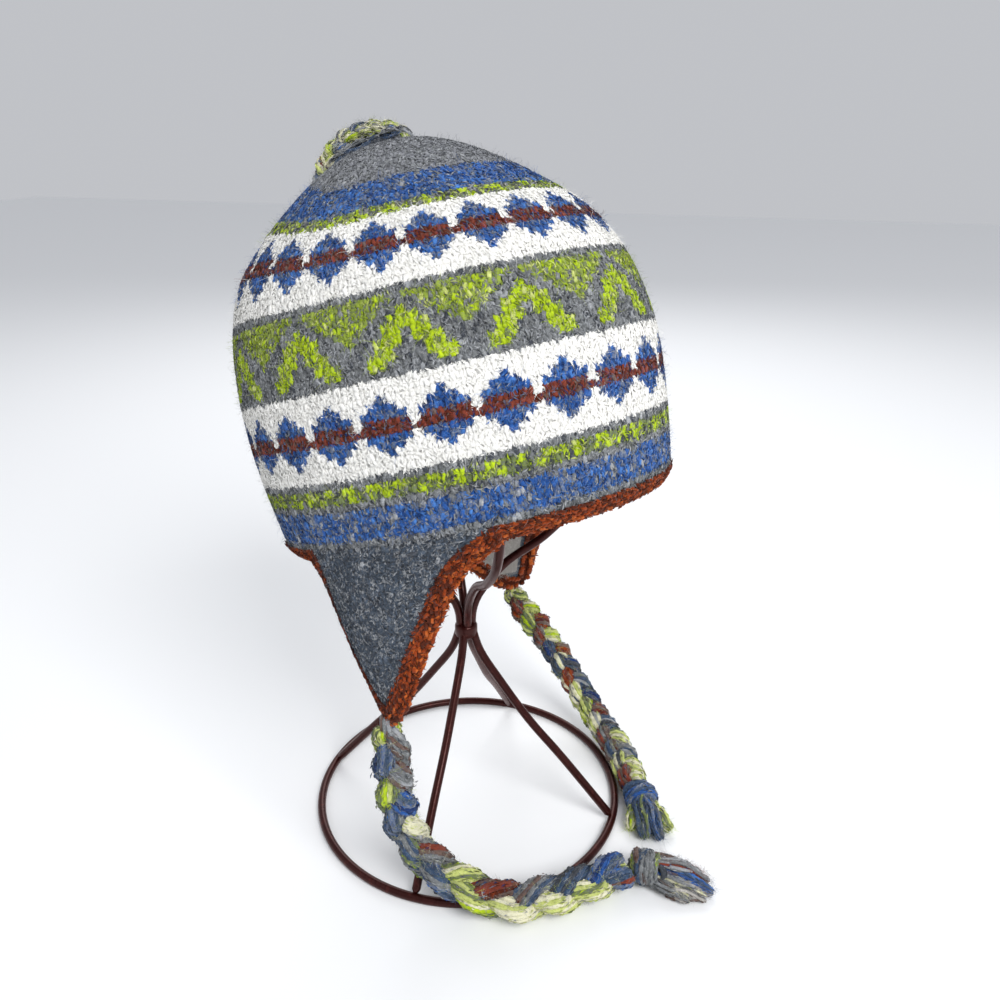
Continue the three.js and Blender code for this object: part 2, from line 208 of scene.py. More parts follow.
# Knit: one letter a stitch, rows from the lower edge up
STITCHES = 144
DIAMOND_ROWS = [
    "WWWWWW",
    "WWWWWW",
    "WWWBWW",
    "WWBBBW",
    "WBBBBB",
    "RRRRRR",
    "WRRRRR",
    "WBBBBB",
    "WWBBBW",
    "WWWBWW",
    "WWWWWW",
    "WWWWWW",
]
CHEVRON_ROWS = [
    "GGGGGGGGGGGG",
    "GGLLGGGGGLLG",
    "GGLLLGGGLLLG",
    "GGGLLGGGLLGG",
    "GGGLLLGLLLGG",
    "EGGGLLGLLGGG",
    "EEGGLLLLLGGE",
    "EEEGGLLLGGEE",
    "EEEEGGLGGEEE",
    "EEEEEGGGEEEE",
    "EEEEEEGEEEEE",
    "GGGGGGGGGGGG",
]
RIM_ROWS = ["G", "BBBMB", "BBMBM", "BBBMM", "BBMMB", "G", "DDDL", "LDD", "G"]
GREEN_ROWS = ["DDDL", "DDLG"]
BLUE_ROWS = ["BBBM", "BBBB", "BBBM", "BBBM", "BBBM", "BMBB"]
# Bands: name, where each starts along the wall, how far its chart is turned, its rows
BANDS = [
    ("rim", 0.0, 0, RIM_ROWS),
    ("diamonds_low", 26.7, 0, DIAMOND_ROWS),
    ("chevrons", 59.5, 5, CHEVRON_ROWS),
    ("diamonds_high", 90.8, 3, DIAMOND_ROWS[:-1]),
    ("green", 121.0, 0, GREEN_ROWS),
    ("blue", 126.6, 0, BLUE_ROWS),
    ("top", 143.6, 0, ["U"]),
]
ROW_HEIGHT = 2.75
TOP_STITCH = 3.4
TOP_CLEAR = 2.0
NARROWING_FROM = dict((name, start) for name, start, _, _ in BANDS)["green"]
PATTERN_MARK_TURN = -74.0
PATTERN_MARK_COLUMN = 3.5
# The bands ride up at the back, on the wearer's right
LIFT_FROM = 84.0
LIFT_PEAK = 140.0
LIFT_HEIGHT = 18.0
LIFT_TURN = -140.0
LIFT_SPREAD = 48.0


def srgb(red, green, blue):
    """Linear colour of an sRGB one in 0 to 255."""
    shares = [value / 255 for value in (red, green, blue)]
    linear = [s / 12.92 if s <= 0.04045 else ((s + 0.055) / 1.055) ** 2.4 for s in shares]
    return (*linear, 1.0)


# Yarns by letter: name, colour, fleck colour, share of flecks, light and dark patches
YARNS = {
    "W": ("white_wool", (243, 242, 238), (230, 228, 222), 0.35, 0.06),
    "B": ("blue_wool", (36, 79, 148), (72, 110, 166), 0.35, 0.40),
    "V": ("bright_blue_wool", (70, 119, 188), (46, 90, 160), 0.40, 0.35),
    "J": ("navy_wool", (24, 46, 96), (44, 70, 124), 0.40, 0.35),
    "M": ("blue_grey_wool", (84, 102, 136), (126, 130, 138), 0.50, 0.35),
    "S": ("slate_wool", (54, 74, 102), (96, 108, 122), 0.40, 0.40),
    "L": ("lime_wool", (178, 202, 30), (150, 174, 34), 0.35, 0.30),
    "E": ("moss_lime_wool", (140, 158, 60), (116, 128, 84), 0.40, 0.30),
    "D": ("moss_wool", (112, 126, 72), (102, 108, 98), 0.45, 0.35),
    "Y": ("pale_lime_wool", (196, 204, 122), (168, 180, 92), 0.40, 0.25),
    "G": ("grey_heather", (110, 113, 115), (150, 152, 152), 0.35, 0.35),
    "H": ("pale_heather", (150, 153, 157), (180, 182, 184), 0.35, 0.30),
    "K": ("dark_heather", (60, 64, 71), (92, 96, 102), 0.35, 0.35),
    "F": ("flap_grey", (74, 85, 99), (109, 118, 131), 0.35, 0.35),
    "U": ("crown_grey", (124, 126, 132), (158, 160, 163), 0.35, 0.30),
    "R": ("brick_wool", (124, 56, 40), (90, 42, 38), 0.40, 0.35),
    "O": ("rust_wool", (138, 55, 16), (106, 39, 13), 0.35, 0.35),
    "Q": ("dark_rust_wool", (84, 32, 13), (64, 25, 12), 0.35, 0.35),
    "T": ("orange_rust_wool", (184, 91, 36), (150, 65, 24), 0.35, 0.30),
    "C": ("cream_wool", (222, 219, 190), (206, 204, 166), 0.35, 0.15),
    "N": ("brown_wool", (108, 88, 80), (84, 68, 64), 0.40, 0.30),
    "P": ("pale_fleece", (172, 168, 162), (196, 193, 188), 0.40, 0.15),
    "I": ("cap_inside", (120, 120, 120), (86, 88, 92), 0.40, 0.30),
}
# Yarns that the spinner blended: what each half of a stitch may show
BLENDS = {
    "B": "BBBBVVMM",
    "G": "GGGGGHK",
    "E": "EEELYDG",
    "D": "DDDGLK",
    "L": "LLLLLDY",
    "M": "BMMGH",
    "F": "FFFFFHK",
    "U": "UUUUHG",
    "O": "OOOOQQT",
    "R": "RRRRQN",
}
# What the loose fibres on each yarn may show
FIBRES = {
    "B": "BBBVVJMMH",
    "G": "GGGHHHK",
    "E": "EEELYG",
    "D": "DDLGYK",
    "L": "LLLYD",
    "M": "MGHBV",
    "F": "FFFHHKK",
    "U": "UUUHHG",
    "O": "OOQQT",
    "Q": "QQO",
    "T": "TTO",
    "R": "RRRQQNMJ",
    "S": "SSSKM",
    "N": "NNNGQ",
    "C": "CCCHY",
    "Y": "YYYCD",
    "V": "VVB",
    "I": "IIIKGH",
}


# Where each piece's chance starts
SEEDS = {
    "braid_right": 11,
    "braid_left": 12,
    "crown": 100,
    "crown_floats": 150,
    "flap_right": 200,
    "flap_left": 201,
    "lining_right": 300,
    "lining_left": 301,
    "edging": 400,
    "loop": 500,
}


def chance(name, number=0):
    return np.random.default_rng(SEEDS[name] + number)


def blend(letters, rng, blends=BLENDS):
    """The letters with each blended yarn shown as one of its fibres."""
    shown = letters.copy()
    for letter, choices in blends.items():
        here = np.flatnonzero(letters == letter)
        shown[here] = np.array(list(choices))[rng.integers(0, len(choices), len(here))]
    return shown


def unit(vectors):
    return vectors / np.maximum(np.linalg.norm(vectors, axis=-1, keepdims=True), 1e-9)


def mix(low, high, share):
    return low + (high - low) * share


# Curves and surfaces


def section_spline(points, per_span=24):
    """Smooth line through points, each span with the slope of its neighbours."""
    points = np.asarray(points, float)
    line = []
    for index in range(len(points) - 1):
        before, start = points[max(index - 1, 0)], points[index]
        end, after = points[index + 1], points[min(index + 2, len(points) - 1)]
        leave, reach = (end - before) / 2, (after - start) / 2
        t = np.arange(per_span)[:, None] / per_span
        cubic = 2 * start - 2 * end + leave + reach
        square = -3 * start + 3 * end - 2 * leave - reach
        line.append(cubic * t**3 + square * t**2 + leave * t + start)
    return np.vstack([*line, points[-1:]])


def arc_along(line):
    return np.concatenate([[0], np.cumsum(np.linalg.norm(np.diff(line, axis=0), axis=1))])


def route_spline(points, step):
    """Centripetal curve through points, cut into even steps."""
    points = np.asarray(points, float)
    ends = np.vstack([2 * points[0] - points[1], points, 2 * points[-1] - points[-2]])
    knots = np.concatenate([[0], np.cumsum(np.sqrt(np.linalg.norm(np.diff(ends, axis=0), axis=1)))])
    line = []
    for index in range(1, len(ends) - 2):
        t0, t1, t2, t3 = knots[index - 1:index + 3]
        p0, p1, p2, p3 = ends[index - 1:index + 3]
        t = np.linspace(t1, t2, 30, endpoint=False)[:, None]
        a1 = (t1 - t) / (t1 - t0) * p0 + (t - t0) / (t1 - t0) * p1
        a2 = (t2 - t) / (t2 - t1) * p1 + (t - t1) / (t2 - t1) * p2
        a3 = (t3 - t) / (t3 - t2) * p2 + (t - t2) / (t3 - t2) * p3
        b1 = (t2 - t) / (t2 - t0) * a1 + (t - t0) / (t2 - t0) * a2
        b2 = (t3 - t) / (t3 - t1) * a2 + (t - t1) / (t3 - t1) * a3
        line.append((t2 - t) / (t2 - t1) * b1 + (t - t1) / (t2 - t1) * b2)
    return even_steps(np.vstack([*line, points[-1:]]), step)


def even_steps(line, step):
    arc = arc_along(line)
    marks = np.linspace(0, arc[-1], max(3, int(round(arc[-1] / step)) + 1))
    return np.stack([np.interp(marks, arc, line[:, axis]) for axis in range(3)], axis=1)


UP = unit(np.array([-math.tan(LEAN_BACK), math.tan(LEAN_LEFT), 1.0]))
FORWARD = unit(np.array([1.0, 0, 0]) - UP * UP[0])
LEFT = np.cross(UP, FORWARD)
WALL = section_spline(PROFILE)
WALL_ARC = arc_along(WALL[:, :2])
WALL_LENGTH = WALL_ARC[-1]


def cap_point(forward, left, up):
    return (RIM_CENTRE + np.multiply.outer(forward, FORWARD) + np.multiply.outer(left, LEFT)
            + np.multiply.outer(up, UP))


def crown_point(turn, arc):
    """A point on the cap's face: turn in degrees from the front, arc up the wall from the rim."""
    radius, height, back = (np.interp(arc, WALL_ARC, WALL[:, column]) for column in range(3))
    angle = np.radians(turn)
    return cap_point(radius * np.cos(angle) - back, SIDE_TO_LENGTH * radius * np.sin(angle), height)


def crown_frame(turn, arc):
    """Points on the cap with the ways round it, up it and out of it."""
    step_turn, step_arc = 0.5, 0.3
    arc = np.clip(arc, step_arc, WALL_LENGTH - 2 * step_arc)
    round_way = unit(crown_point(turn + step_turn, arc) - crown_point(turn - step_turn, arc))
    up_way = unit(crown_point(turn, arc + step_arc) - crown_point(turn, arc - step_arc))
    out_way = unit(np.cross(round_way, up_way))
    return crown_point(turn, arc), round_way, up_way, out_way


ROUND_TURNS = np.linspace(-180, 180, 721)
ROUND_STEPS = np.hypot(np.sin(np.radians(ROUND_TURNS)), SIDE_TO_LENGTH * np.cos(np.radians(ROUND_TURNS)))
ROUND_ARC = np.concatenate([[0], np.cumsum((ROUND_STEPS[1:] + ROUND_STEPS[:-1]) / 2)])
ROUND_SHARE = ROUND_ARC / ROUND_ARC[-1]
ROUND_LENGTH = ROUND_ARC[-1] * math.radians(0.5)


def turn_at_share(share):
    return np.interp(np.mod(share, 1.0), ROUND_SHARE, ROUND_TURNS)


PATTERN_START = np.interp(PATTERN_MARK_TURN, ROUND_TURNS, ROUND_SHARE) - PATTERN_MARK_COLUMN / STITCHES


def row_lift(turn, arc):
    """How far a row of the pattern rides up the wall."""
    rise = np.clip((arc - LIFT_FROM) / (LIFT_PEAK - LIFT_FROM), 0, 1)
    fall = np.clip((WALL_LENGTH - arc) / (WALL_LENGTH - LIFT_PEAK), 0, 1)
    away = np.mod(turn - LIFT_TURN + 180, 360) - 180
    near = np.clip(1 - np.abs(away) / LIFT_SPREAD, 0, 1)
    return LIFT_HEIGHT * rise * fall * near * near * (3 - 2 * near)


def inward_at(turn):
    angle = np.radians(turn)
    return unit(np.multiply.outer(-SIDE_TO_LENGTH * np.cos(angle), FORWARD)
                + np.multiply.outer(-np.sin(angle), LEFT))


def flap_turn(flap, across, down):
    flare = mix(-FLARE_FRONT, FLARE_BACK, across) * np.maximum(0, 1 - down / FLARE_DEPTH) ** 2
    return flap["sign"] * (mix(FLAP_FRONT, FLAP_BACK, across) + flare)


def flap_inward(flap, across, down):
    side = np.array([0.0, -flap["sign"], 0.0])
    return unit(inward_at(flap_turn(flap, across, down)) * (1 - down)[..., None] + np.multiply.outer(down, side))


def flap_point(flap, across, down, depth=0.0):
    """A point on a flap: across from its front edge to its back one, down from the rim to the tip."""
    across, down = np.broadcast_arrays(np.asarray(across, float), np.asarray(down, float))
    top = crown_point(flap_turn(flap, across, down), 0.0) - GAP * UP
    tip_way = np.array([math.cos(TIP_TURN), flap["sign"] * math.sin(TIP_TURN), 0])
    tip = flap["tip"] + np.multiply.outer((0.5 - across) * TIP_WIDTH, tip_way)
    swell = np.sin(np.pi * down)
    bow = np.multiply.outer((BOW_BACK * across**1.5 + BOW_FRONT * (1 - across) ** 2) * swell, np.array([-1.0, 0, 0]))
    curl = FLAP_CURL * across**CURL_POWER * swell
    return mix(top, tip, down[..., None]) + bow + flap_inward(flap, across, down) * (depth + curl)[..., None]


def flap_frame(flap, across, down):
    step = 0.01
    up_way = unit(flap_point(flap, across, np.maximum(down - step, 0)) - flap_point(flap, across, down + step))
    out_way = -flap_facing(flap, across, down)
    out_way = unit(out_way - up_way * np.sum(out_way * up_way, axis=-1, keepdims=True))
    return flap_point(flap, across, down), np.cross(up_way, out_way), up_way, out_way


def flap_facing(flap, across, down):
    """The way into the cap, square to a flap's curled face."""
    step = 0.02
    over = (flap_point(flap, np.minimum(across + step, 1), down)
            - flap_point(flap, np.maximum(across - step, 0), down))
    along = (flap_point(flap, across, np.minimum(down + step, 1))
             - flap_point(flap, across, np.maximum(down - step, 0)))
    return unit(np.cross(over, along)) * flap["sign"]


# Parts of meshes: each is points, triangles and a yarn letter for each triangle


def strands(paths, face, half_wide, half_deep, letters, sides=5):
    """Closed strands along paths (strand, step, 3), pointed at both ends and lying flat to the face.

    Each strand has one letter, or one for each of its spans.
    """
    count, steps, _ = paths.shape
    face = np.broadcast_to(face if face.ndim == 3 else face[:, None, :], paths.shape)
    along = unit(np.gradient(paths, axis=1))
    across = unit(np.cross(face, along))
    over = np.cross(along, across)
    half_wide = np.broadcast_to(half_wide, (count, steps))
    half_deep = np.broadcast_to(half_deep, (count, steps))
    angle = 2 * np.pi * (np.arange(sides) + 0.5) / sides
    inner = slice(1, steps - 1)
    rings = (paths[:, inner, None]
             + across[:, inner, None] * (half_wide[:, inner, None] * np.cos(angle))[..., None]
             + over[:, inner, None] * (half_deep[:, inner, None] * np.sin(angle))[..., None])
    points = np.concatenate([paths[:, :1], rings.reshape(count, -1, 3), paths[:, -1:]], axis=1)
    side = np.arange(sides)
    turned = (side + 1) % sides
    ring_start = 1 + np.arange(steps - 3)[:, None] * sides
    a, b = ring_start + side, ring_start + turned
    last = 1 + (steps - 3) * sides
    top = np.full(sides, points.shape[1] - 1)
    one = np.vstack([
        np.stack([np.zeros(sides, int), 1 + turned, 1 + side], axis=1),
        np.stack([a, b, b + sides], axis=-1).reshape(-1, 3),
        np.stack([a, b + sides, a + sides], axis=-1).reshape(-1, 3),
        np.stack([last + side, last + turned, top], axis=1),
    ])
    triangles = one[None] + (np.arange(count) * points.shape[1])[:, None, None]
    letters = np.asarray(letters)
    if letters.ndim == 1:
        return points.reshape(-1, 3), triangles.reshape(-1, 3), np.repeat(letters, len(one))
    middle_spans = np.repeat(np.arange(1, steps - 2), sides)
    spans = np.concatenate([np.zeros(sides, int), middle_spans, middle_spans, np.full(sides, steps - 2)])
    return points.reshape(-1, 3), triangles.reshape(-1, 3), letters[:, spans].ravel()


def closed_tube(centres, across, over, sides, letter):
    """A tube round a closed run; across and over are its half sizes as vectors."""
    angle = 2 * np.pi * np.arange(sides) / sides
    rings = (centres[:, None] + across[:, None] * np.cos(angle)[:, None] + over[:, None] * np.sin(angle)[:, None])
    count = len(centres)
    ring, side = np.meshgrid(np.arange(count), np.arange(sides), indexing="ij")
    after, turned = (ring + 1) % count, (side + 1) % sides
    a, b = ring * sides + side, ring * sides + turned
    c, d = after * sides + turned, after * sides + side
    triangles = np.concatenate([np.stack([a, b, c], axis=-1), np.stack([a, c, d], axis=-1)]).reshape(-1, 3)
    return rings.reshape(-1, 3), triangles, np.full(len(triangles), letter)


def grid_faces(rows, columns, wrap=False):
    """Triangles over a grid of points, with their corners counted along the rows."""
    spans = columns if wrap else columns - 1
    row, column = np.meshgrid(np.arange(rows - 1), np.arange(spans), indexing="ij")
    after = (column + 1) % columns
    a, b = row * columns + column, row * columns + after
    c, d = (row + 1) * columns + after, (row + 1) * columns + column
    return np.concatenate([np.stack([a, b, c], axis=-1), np.stack([a, c, d], axis=-1)]).reshape(-1, 3)


# Fuzz on each kind of piece: length, lift off the surface and width of its fibres
FUZZ = {
    "crown": ((2, 6.5), (0.2, 3.6), 0.09),
    "flap": ((2, 6), (0.1, 2.8), 0.09),
    "fleece": ((1.5, 4), (0.2, 1.4), 0.14),
    "edging": ((2, 4.5), (0.1, 1.6), 0.08),
    "plait": ((1.5, 6), (0.1, 2.2), 0.08),
    "lock": ((2, 7), (0.1, 1.0), 0.09),
    "knot": ((2, 5), (0.1, 1.2), 0.09),
}
FUZZ_BEND = 0.35
FUZZ_SCATTER_ROUND = 1.6
FUZZ_SCATTER_UP = 1.4
# A fibre's middle and end: shares of its length, its bend sideways and its lift
FUZZ_MIDDLE = (0.5, 0.6, 0.75)
FUZZ_END = (0.95, 1.6, 1.0)
FUZZ_TAPER = 0.8


def hairs(points, out_way, round_way, letters, count, rng, kind):
    """Fine bowed fibres, each a tapered ribbon rooted at one of the points."""
    length, lift, width = FUZZ[kind]
    pick = rng.integers(0, len(points), count)
    out, side = out_way[pick], round_way[pick]
    rise = np.cross(out, side)
    heading = rng.uniform(0, 2 * np.pi, count)[:, None]
    way = side * np.cos(heading) + rise * np.sin(heading)
    sideways = np.cross(out, way)
    reach = rng.uniform(*length, count)[:, None]
    up = lift[0] + (lift[1] - lift[0]) * rng.random(count)[:, None] ** 3
    bend = rng.uniform(-FUZZ_BEND, FUZZ_BEND, count)[:, None] * reach
    root = (points[pick] + side * rng.uniform(-FUZZ_SCATTER_ROUND, FUZZ_SCATTER_ROUND, count)[:, None]
            + rise * rng.uniform(-FUZZ_SCATTER_UP, FUZZ_SCATTER_UP, count)[:, None])
    half = width * rng.uniform(0.6, 1.0, count)[:, None] / 2
    middle, end = (root + way * reach * ahead + sideways * bend * aside + out * up * above
                   for ahead, aside, above in (FUZZ_MIDDLE, FUZZ_END))
    across = unit(np.cross(out, way))
    corners = np.stack([root - across * half, root + across * half,
                        middle - across * half * FUZZ_TAPER, middle + across * half * FUZZ_TAPER, end], axis=1)
    one = np.array([(0, 1, 3), (0, 3, 2), (2, 3, 4)])
    triangles = one[None] + (np.arange(count) * 5)[:, None, None]
    return corners.reshape(-1, 3), triangles.reshape(-1, 3), np.repeat(np.asarray(letters)[pick], len(one))


# Felt: how its fibres lean off the stitch or the yarn, as mean and spread, and the range of each size
FELT_LEAN = (0.6, 0.5)
YARN_LEAN = (0.12, 0.16)
FELT_HEIGHT = (-0.1, 0.35)
FELT_HALF_LENGTH = (0.9, 1.9)
FELT_HALF_WIDTH = (0.18, 0.35)
FELT_WHITE_SPREAD = 1.7
FELT_DIP = (0.3, 0.75)
FELT_BEND = 0.3
FELT_SCATTER_ROUND = 0.55
FELT_SCATTER_UP = 0.6


def felt(points, round_way, up_way, out_way, wide, high, letters, each, rng, lean=FELT_LEAN):
    """Short matted fibres over the stitches, each a flat kite that dips in at both ends."""
    pick = np.repeat(np.arange(len(points)), each)
    count = len(pick)
    side, rise, out = round_way[pick], up_way[pick], out_way[pick]
    lean = (rng.choice([-1, 1], count) * rng.normal(*lean, count))[:, None]
    way = rise * np.cos(lean) + side * np.sin(lean)
    across = side * np.cos(lean) - rise * np.sin(lean)
    middle = (points[pick]
              + side * (rng.uniform(-FELT_SCATTER_ROUND, FELT_SCATTER_ROUND, count) * wide[pick])[:, None]
              + rise * (rng.uniform(-FELT_SCATTER_UP, FELT_SCATTER_UP, count) * high[pick])[:, None]
              + out * rng.uniform(*FELT_HEIGHT, count)[:, None])
    half = rng.uniform(*FELT_HALF_LENGTH, count)[:, None]
    breadth = rng.uniform(*FELT_HALF_WIDTH, count)[:, None]
    breadth = breadth * np.where(np.asarray(letters)[pick] == "W", FELT_WHITE_SPREAD, 1.0)[:, None]
    bend = across * rng.normal(0, FELT_BEND, count)[:, None]
    dip = out * rng.uniform(*FELT_DIP, count)[:, None]
    corners = np.stack([middle - way * half + bend - dip, middle + across * breadth,
                        middle + way * half + bend - dip, middle - across * breadth], axis=1)
    one = np.array([(0, 1, 2), (0, 2, 3)])
    triangles = one[None] + (np.arange(count) * 4)[:, None, None]
    shown = blend(np.asarray(letters)[pick], rng, FIBRES)
    return corners.reshape(-1, 3), triangles.reshape(-1, 3), np.repeat(shown, len(one))


def yarn_felt(paths, out_way, half, letters, each, rng):
    """Fibres along the outer side of yarns, in each yarn's colours."""
    way = unit(np.gradient(paths, axis=1))
    inner = slice(1, paths.shape[1] - 1)
    points = (paths + out_way * half[..., None])[:, inner].reshape(-1, 3)
    ways, outs = way[:, inner].reshape(-1, 3), out_way[:, inner].reshape(-1, 3)
    wide = np.broadcast_to(half, paths.shape[:2])[:, inner].ravel() * 1.5
    high = np.linalg.norm(np.gradient(paths, axis=1), axis=2)[:, inner].ravel()
    return felt(points, unit(np.cross(ways, outs)), ways, outs, wide, high, letters[:, inner].ravel(), each, rng,
                YARN_LEAN)


# Materials


def add_object(name, data):
    thing = bpy.data.objects.new(name, data)
    bpy.context.scene.collection.objects.link(thing)
    return thing


def group_socket(group, name, kind, way, default=None):
    socket = group.interface.new_socket(name, in_out=way, socket_type=kind)
    if default is not None:
        socket.default_value = default


def link(tree, source, target):
    tree.links.new(source, target)


def math_node(tree, operation, first, second):
    node = tree.nodes.new("ShaderNodeMath")
    node.operation = operation
    for socket, value in zip(node.inputs, (first, second)):
        if isinstance(value, (int, float)):
            socket.default_value = value
        else:
            link(tree, value, socket)
    return node.outputs[0]


def noise_node(tree, place, scale, detail):
    node = tree.nodes.new("ShaderNodeTexNoise")
    node.inputs["Detail"].default_value = detail
    link(tree, place, node.inputs["Vector"])
    if isinstance(scale, (int, float)):
        node.inputs["Scale"].default_value = scale
    else:
        link(tree, scale, node.inputs["Scale"])
    return node.outputs["Fac"]


FLECK_CUT = 0.66
FLECK_CUT_SPAN = -0.35
FLECK_SHARPNESS = 7.0
PATCH_SCALE = 170.0
PATCH_SWING = 2.4
FINE_SCALE = 2.7
FINE_SHARE = 0.5


def make_heather_group():
    """Yarn colour with flecks of a second fibre, and lighter and darker patches."""
    group = bpy.data.node_groups.new("heather", "ShaderNodeTree")
    group_socket(group, "Yarn", "NodeSocketColor", "INPUT")
    group_socket(group, "Fleck", "NodeSocketColor", "INPUT")
    group_socket(group, "Fleck Share", "NodeSocketFloat", "INPUT", 0.3)
    group_socket(group, "Fleck Scale", "NodeSocketFloat", "INPUT", 1500.0)
    group_socket(group, "Patches", "NodeSocketFloat", "INPUT", 0.2)
    group_socket(group, "Color", "NodeSocketColor", "OUTPUT")
    taken = group.nodes.new("NodeGroupInput")
    given = group.nodes.new("NodeGroupOutput")
    place = group.nodes.new("ShaderNodeTexCoord").outputs["Object"]
    grain = noise_node(group, place, taken.outputs["Fleck Scale"], 2.0)
    threshold = math_node(group, "MULTIPLY_ADD", taken.outputs["Fleck Share"], FLECK_CUT_SPAN)
    threshold.node.inputs[2].default_value = FLECK_CUT
    over = math_node(group, "SUBTRACT", grain, threshold)
    share = math_node(group, "MULTIPLY", over, FLECK_SHARPNESS)
    share.node.use_clamp = True
    flecked = group.nodes.new("ShaderNodeMix")
    flecked.data_type = "RGBA"
    link(group, share, flecked.inputs["Factor"])
    link(group, taken.outputs["Yarn"], flecked.inputs[6])
    link(group, taken.outputs["Fleck"], flecked.inputs[7])
    cloud = noise_node(group, place, PATCH_SCALE, 3.0)
    swing = math_node(group, "SUBTRACT", cloud, 0.5)
    swing = math_node(group, "MULTIPLY", swing, taken.outputs["Patches"])
    swing = math_node(group, "MULTIPLY", swing, PATCH_SWING)
    bright = math_node(group, "ADD", swing, 1.0)
    shade = group.nodes.new("ShaderNodeVectorMath")
    shade.operation = "SCALE"
    link(group, flecked.outputs[2], shade.inputs[0])
    link(group, bright, shade.inputs["Scale"])
    link(group, shade.outputs[0], given.inputs["Color"])
    return group


def make_fibre_group():
    """Height of matted fibres, coarse and fine."""
    group = bpy.data.node_groups.new("matted_fibre", "ShaderNodeTree")
    group_socket(group, "Scale", "NodeSocketFloat", "INPUT", 1500.0)
    group_socket(group, "Height", "NodeSocketFloat", "OUTPUT")
    taken = group.nodes.new("NodeGroupInput")
    given = group.nodes.new("NodeGroupOutput")
    place = group.nodes.new("ShaderNodeTexCoord").outputs["Object"]
    coarse = noise_node(group, place, taken.outputs["Scale"], 3.0)
    fine = noise_node(group, place, math_node(group, "MULTIPLY", taken.outputs["Scale"], FINE_SCALE), 2.0)
    fine = math_node(group, "MULTIPLY", fine, FINE_SHARE)
    link(group, math_node(group, "ADD", coarse, fine), given.inputs["Height"])
    return group


HEATHER = make_heather_group()
FIBRE = make_fibre_group()


def place_group(tree, group, **values):
    node = tree.nodes.new("ShaderNodeGroup")
    node.node_tree = group
    for name, value in values.items():
        node.inputs[name.replace("_", " ")].default_value = value
    return node


def new_material(name, values):
    """A material with these constant values on its shader."""
    material = bpy.data.materials.new(name)
    material.use_nodes = True
    tree = material.node_tree
    shader = tree.nodes["Principled BSDF"]
    for socket, value in values.items():
        shader.inputs[socket].default_value = value
    return material, tree, shader


def add_bump(tree, shader, height, strength, distance):
    bump = tree.nodes.new("ShaderNodeBump")
    bump.inputs["Strength"].default_value = strength
    bump.inputs["Distance"].default_value = distance
    link(tree, height, bump.inputs["Height"])
    link(tree, bump.outputs["Normal"], shader.inputs["Normal"])


WOOL = {"Roughness": 0.92, "Specular IOR Level": 0.15, "Sheen Weight": 0.4, "Sheen Roughness": 0.55}
WOOL_BUMP = (0.5, 0.0005)
LACQUER = {
    "Metallic": 0.1,
    "Specular IOR Level": 0.3,
    "Specular Tint": srgb(255, 184, 174),
    "Coat Weight": 0.12,
    "Coat Roughness": 0.1,
    "Coat Tint": srgb(255, 200, 192),
}
LACQUER_BUMP = (0.12, 0.0004)
LACQUER_ROUGHNESS = (0.16, 0.34)
LACQUER_GRAIN = 260.0


def make_yarn(letter):
    """Matted wool whose haze is a paler shade of the yarn."""
    name, colour, fleck, share, patches = YARNS[letter]
    haze = srgb(*((part + 255) / 2 for part in colour))
    material, tree, shader = new_material(name, {**WOOL, "Sheen Tint": haze})
    heather = place_group(tree, HEATHER, Yarn=srgb(*colour), Fleck=srgb(*fleck), Fleck_Share=share, Patches=patches)
    link(tree, heather.outputs["Color"], shader.inputs["Base Color"])
    add_bump(tree, shader, place_group(tree, FIBRE).outputs["Height"], *WOOL_BUMP)
    return material


def make_bronze():
    """Dark bronze lacquer on wire, a little worn and uneven."""
    material, tree, shader = new_material("bronze_lacquer", LACQUER)
    heather = place_group(tree, HEATHER, Yarn=srgb(43, 15, 14), Fleck=srgb(66, 28, 25), Fleck_Share=0.2,
                          Fleck_Scale=320.0, Patches=0.4)
    link(tree, heather.outputs["Color"], shader.inputs["Base Color"])
    grain = place_group(tree, FIBRE, Scale=LACQUER_GRAIN)
    worn = tree.nodes.new("ShaderNodeMapRange")
    worn.inputs["To Min"].default_value, worn.inputs["To Max"].default_value = LACQUER_ROUGHNESS
    link(tree, grain.outputs["Height"], worn.inputs["Value"])
    link(tree, worn.outputs["Result"], shader.inputs["Roughness"])
    add_bump(tree, shader, grain.outputs["Height"], *LACQUER_BUMP)
    return material


MATERIALS = {letter: make_yarn(letter) for letter in YARNS}
MATERIALS["Z"] = make_bronze()


def make_piece(name, parts, slot, *nodes):
    """One mesh from its parts, in metres, riding on the part and standing for the solids named."""
    counts = np.cumsum([0] + [len(points) for points, _, _ in parts])
    points = np.vstack([points for points, _, _ in parts]) * MM + RING_CENTRE
    points[:, 2] = np.maximum(points[:, 2], 0)
    triangles = np.vstack([faces + start for (_, faces, _), start in zip(parts, counts)])
    letters, index = np.unique(np.concatenate([letters for _, _, letters in parts]), return_inverse=True)
    mesh = bpy.data.meshes.new(name)
    mesh.vertices.add(len(points))
    mesh.vertices.foreach_set("co", points.astype(np.float32).ravel())
    mesh.loops.add(triangles.size)
    mesh.loops.foreach_set("vertex_index", triangles.astype(np.int32).ravel())
    mesh.polygons.add(len(triangles))
    mesh.polygons.foreach_set("loop_start", np.arange(len(triangles), dtype=np.int32) * 3)
    mesh.polygons.foreach_set("material_index", index.astype(np.int32))
    mesh.polygons.foreach_set("use_smooth", np.ones(len(triangles), bool))
    for letter in letters:
        mesh.materials.append(MATERIALS[str(letter)])
    mesh.update(calc_edges=True)
    piece = add_object(name, mesh)
    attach(piece, BODY)
    if nodes:
        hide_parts(*nodes)
    return piece


# Camera


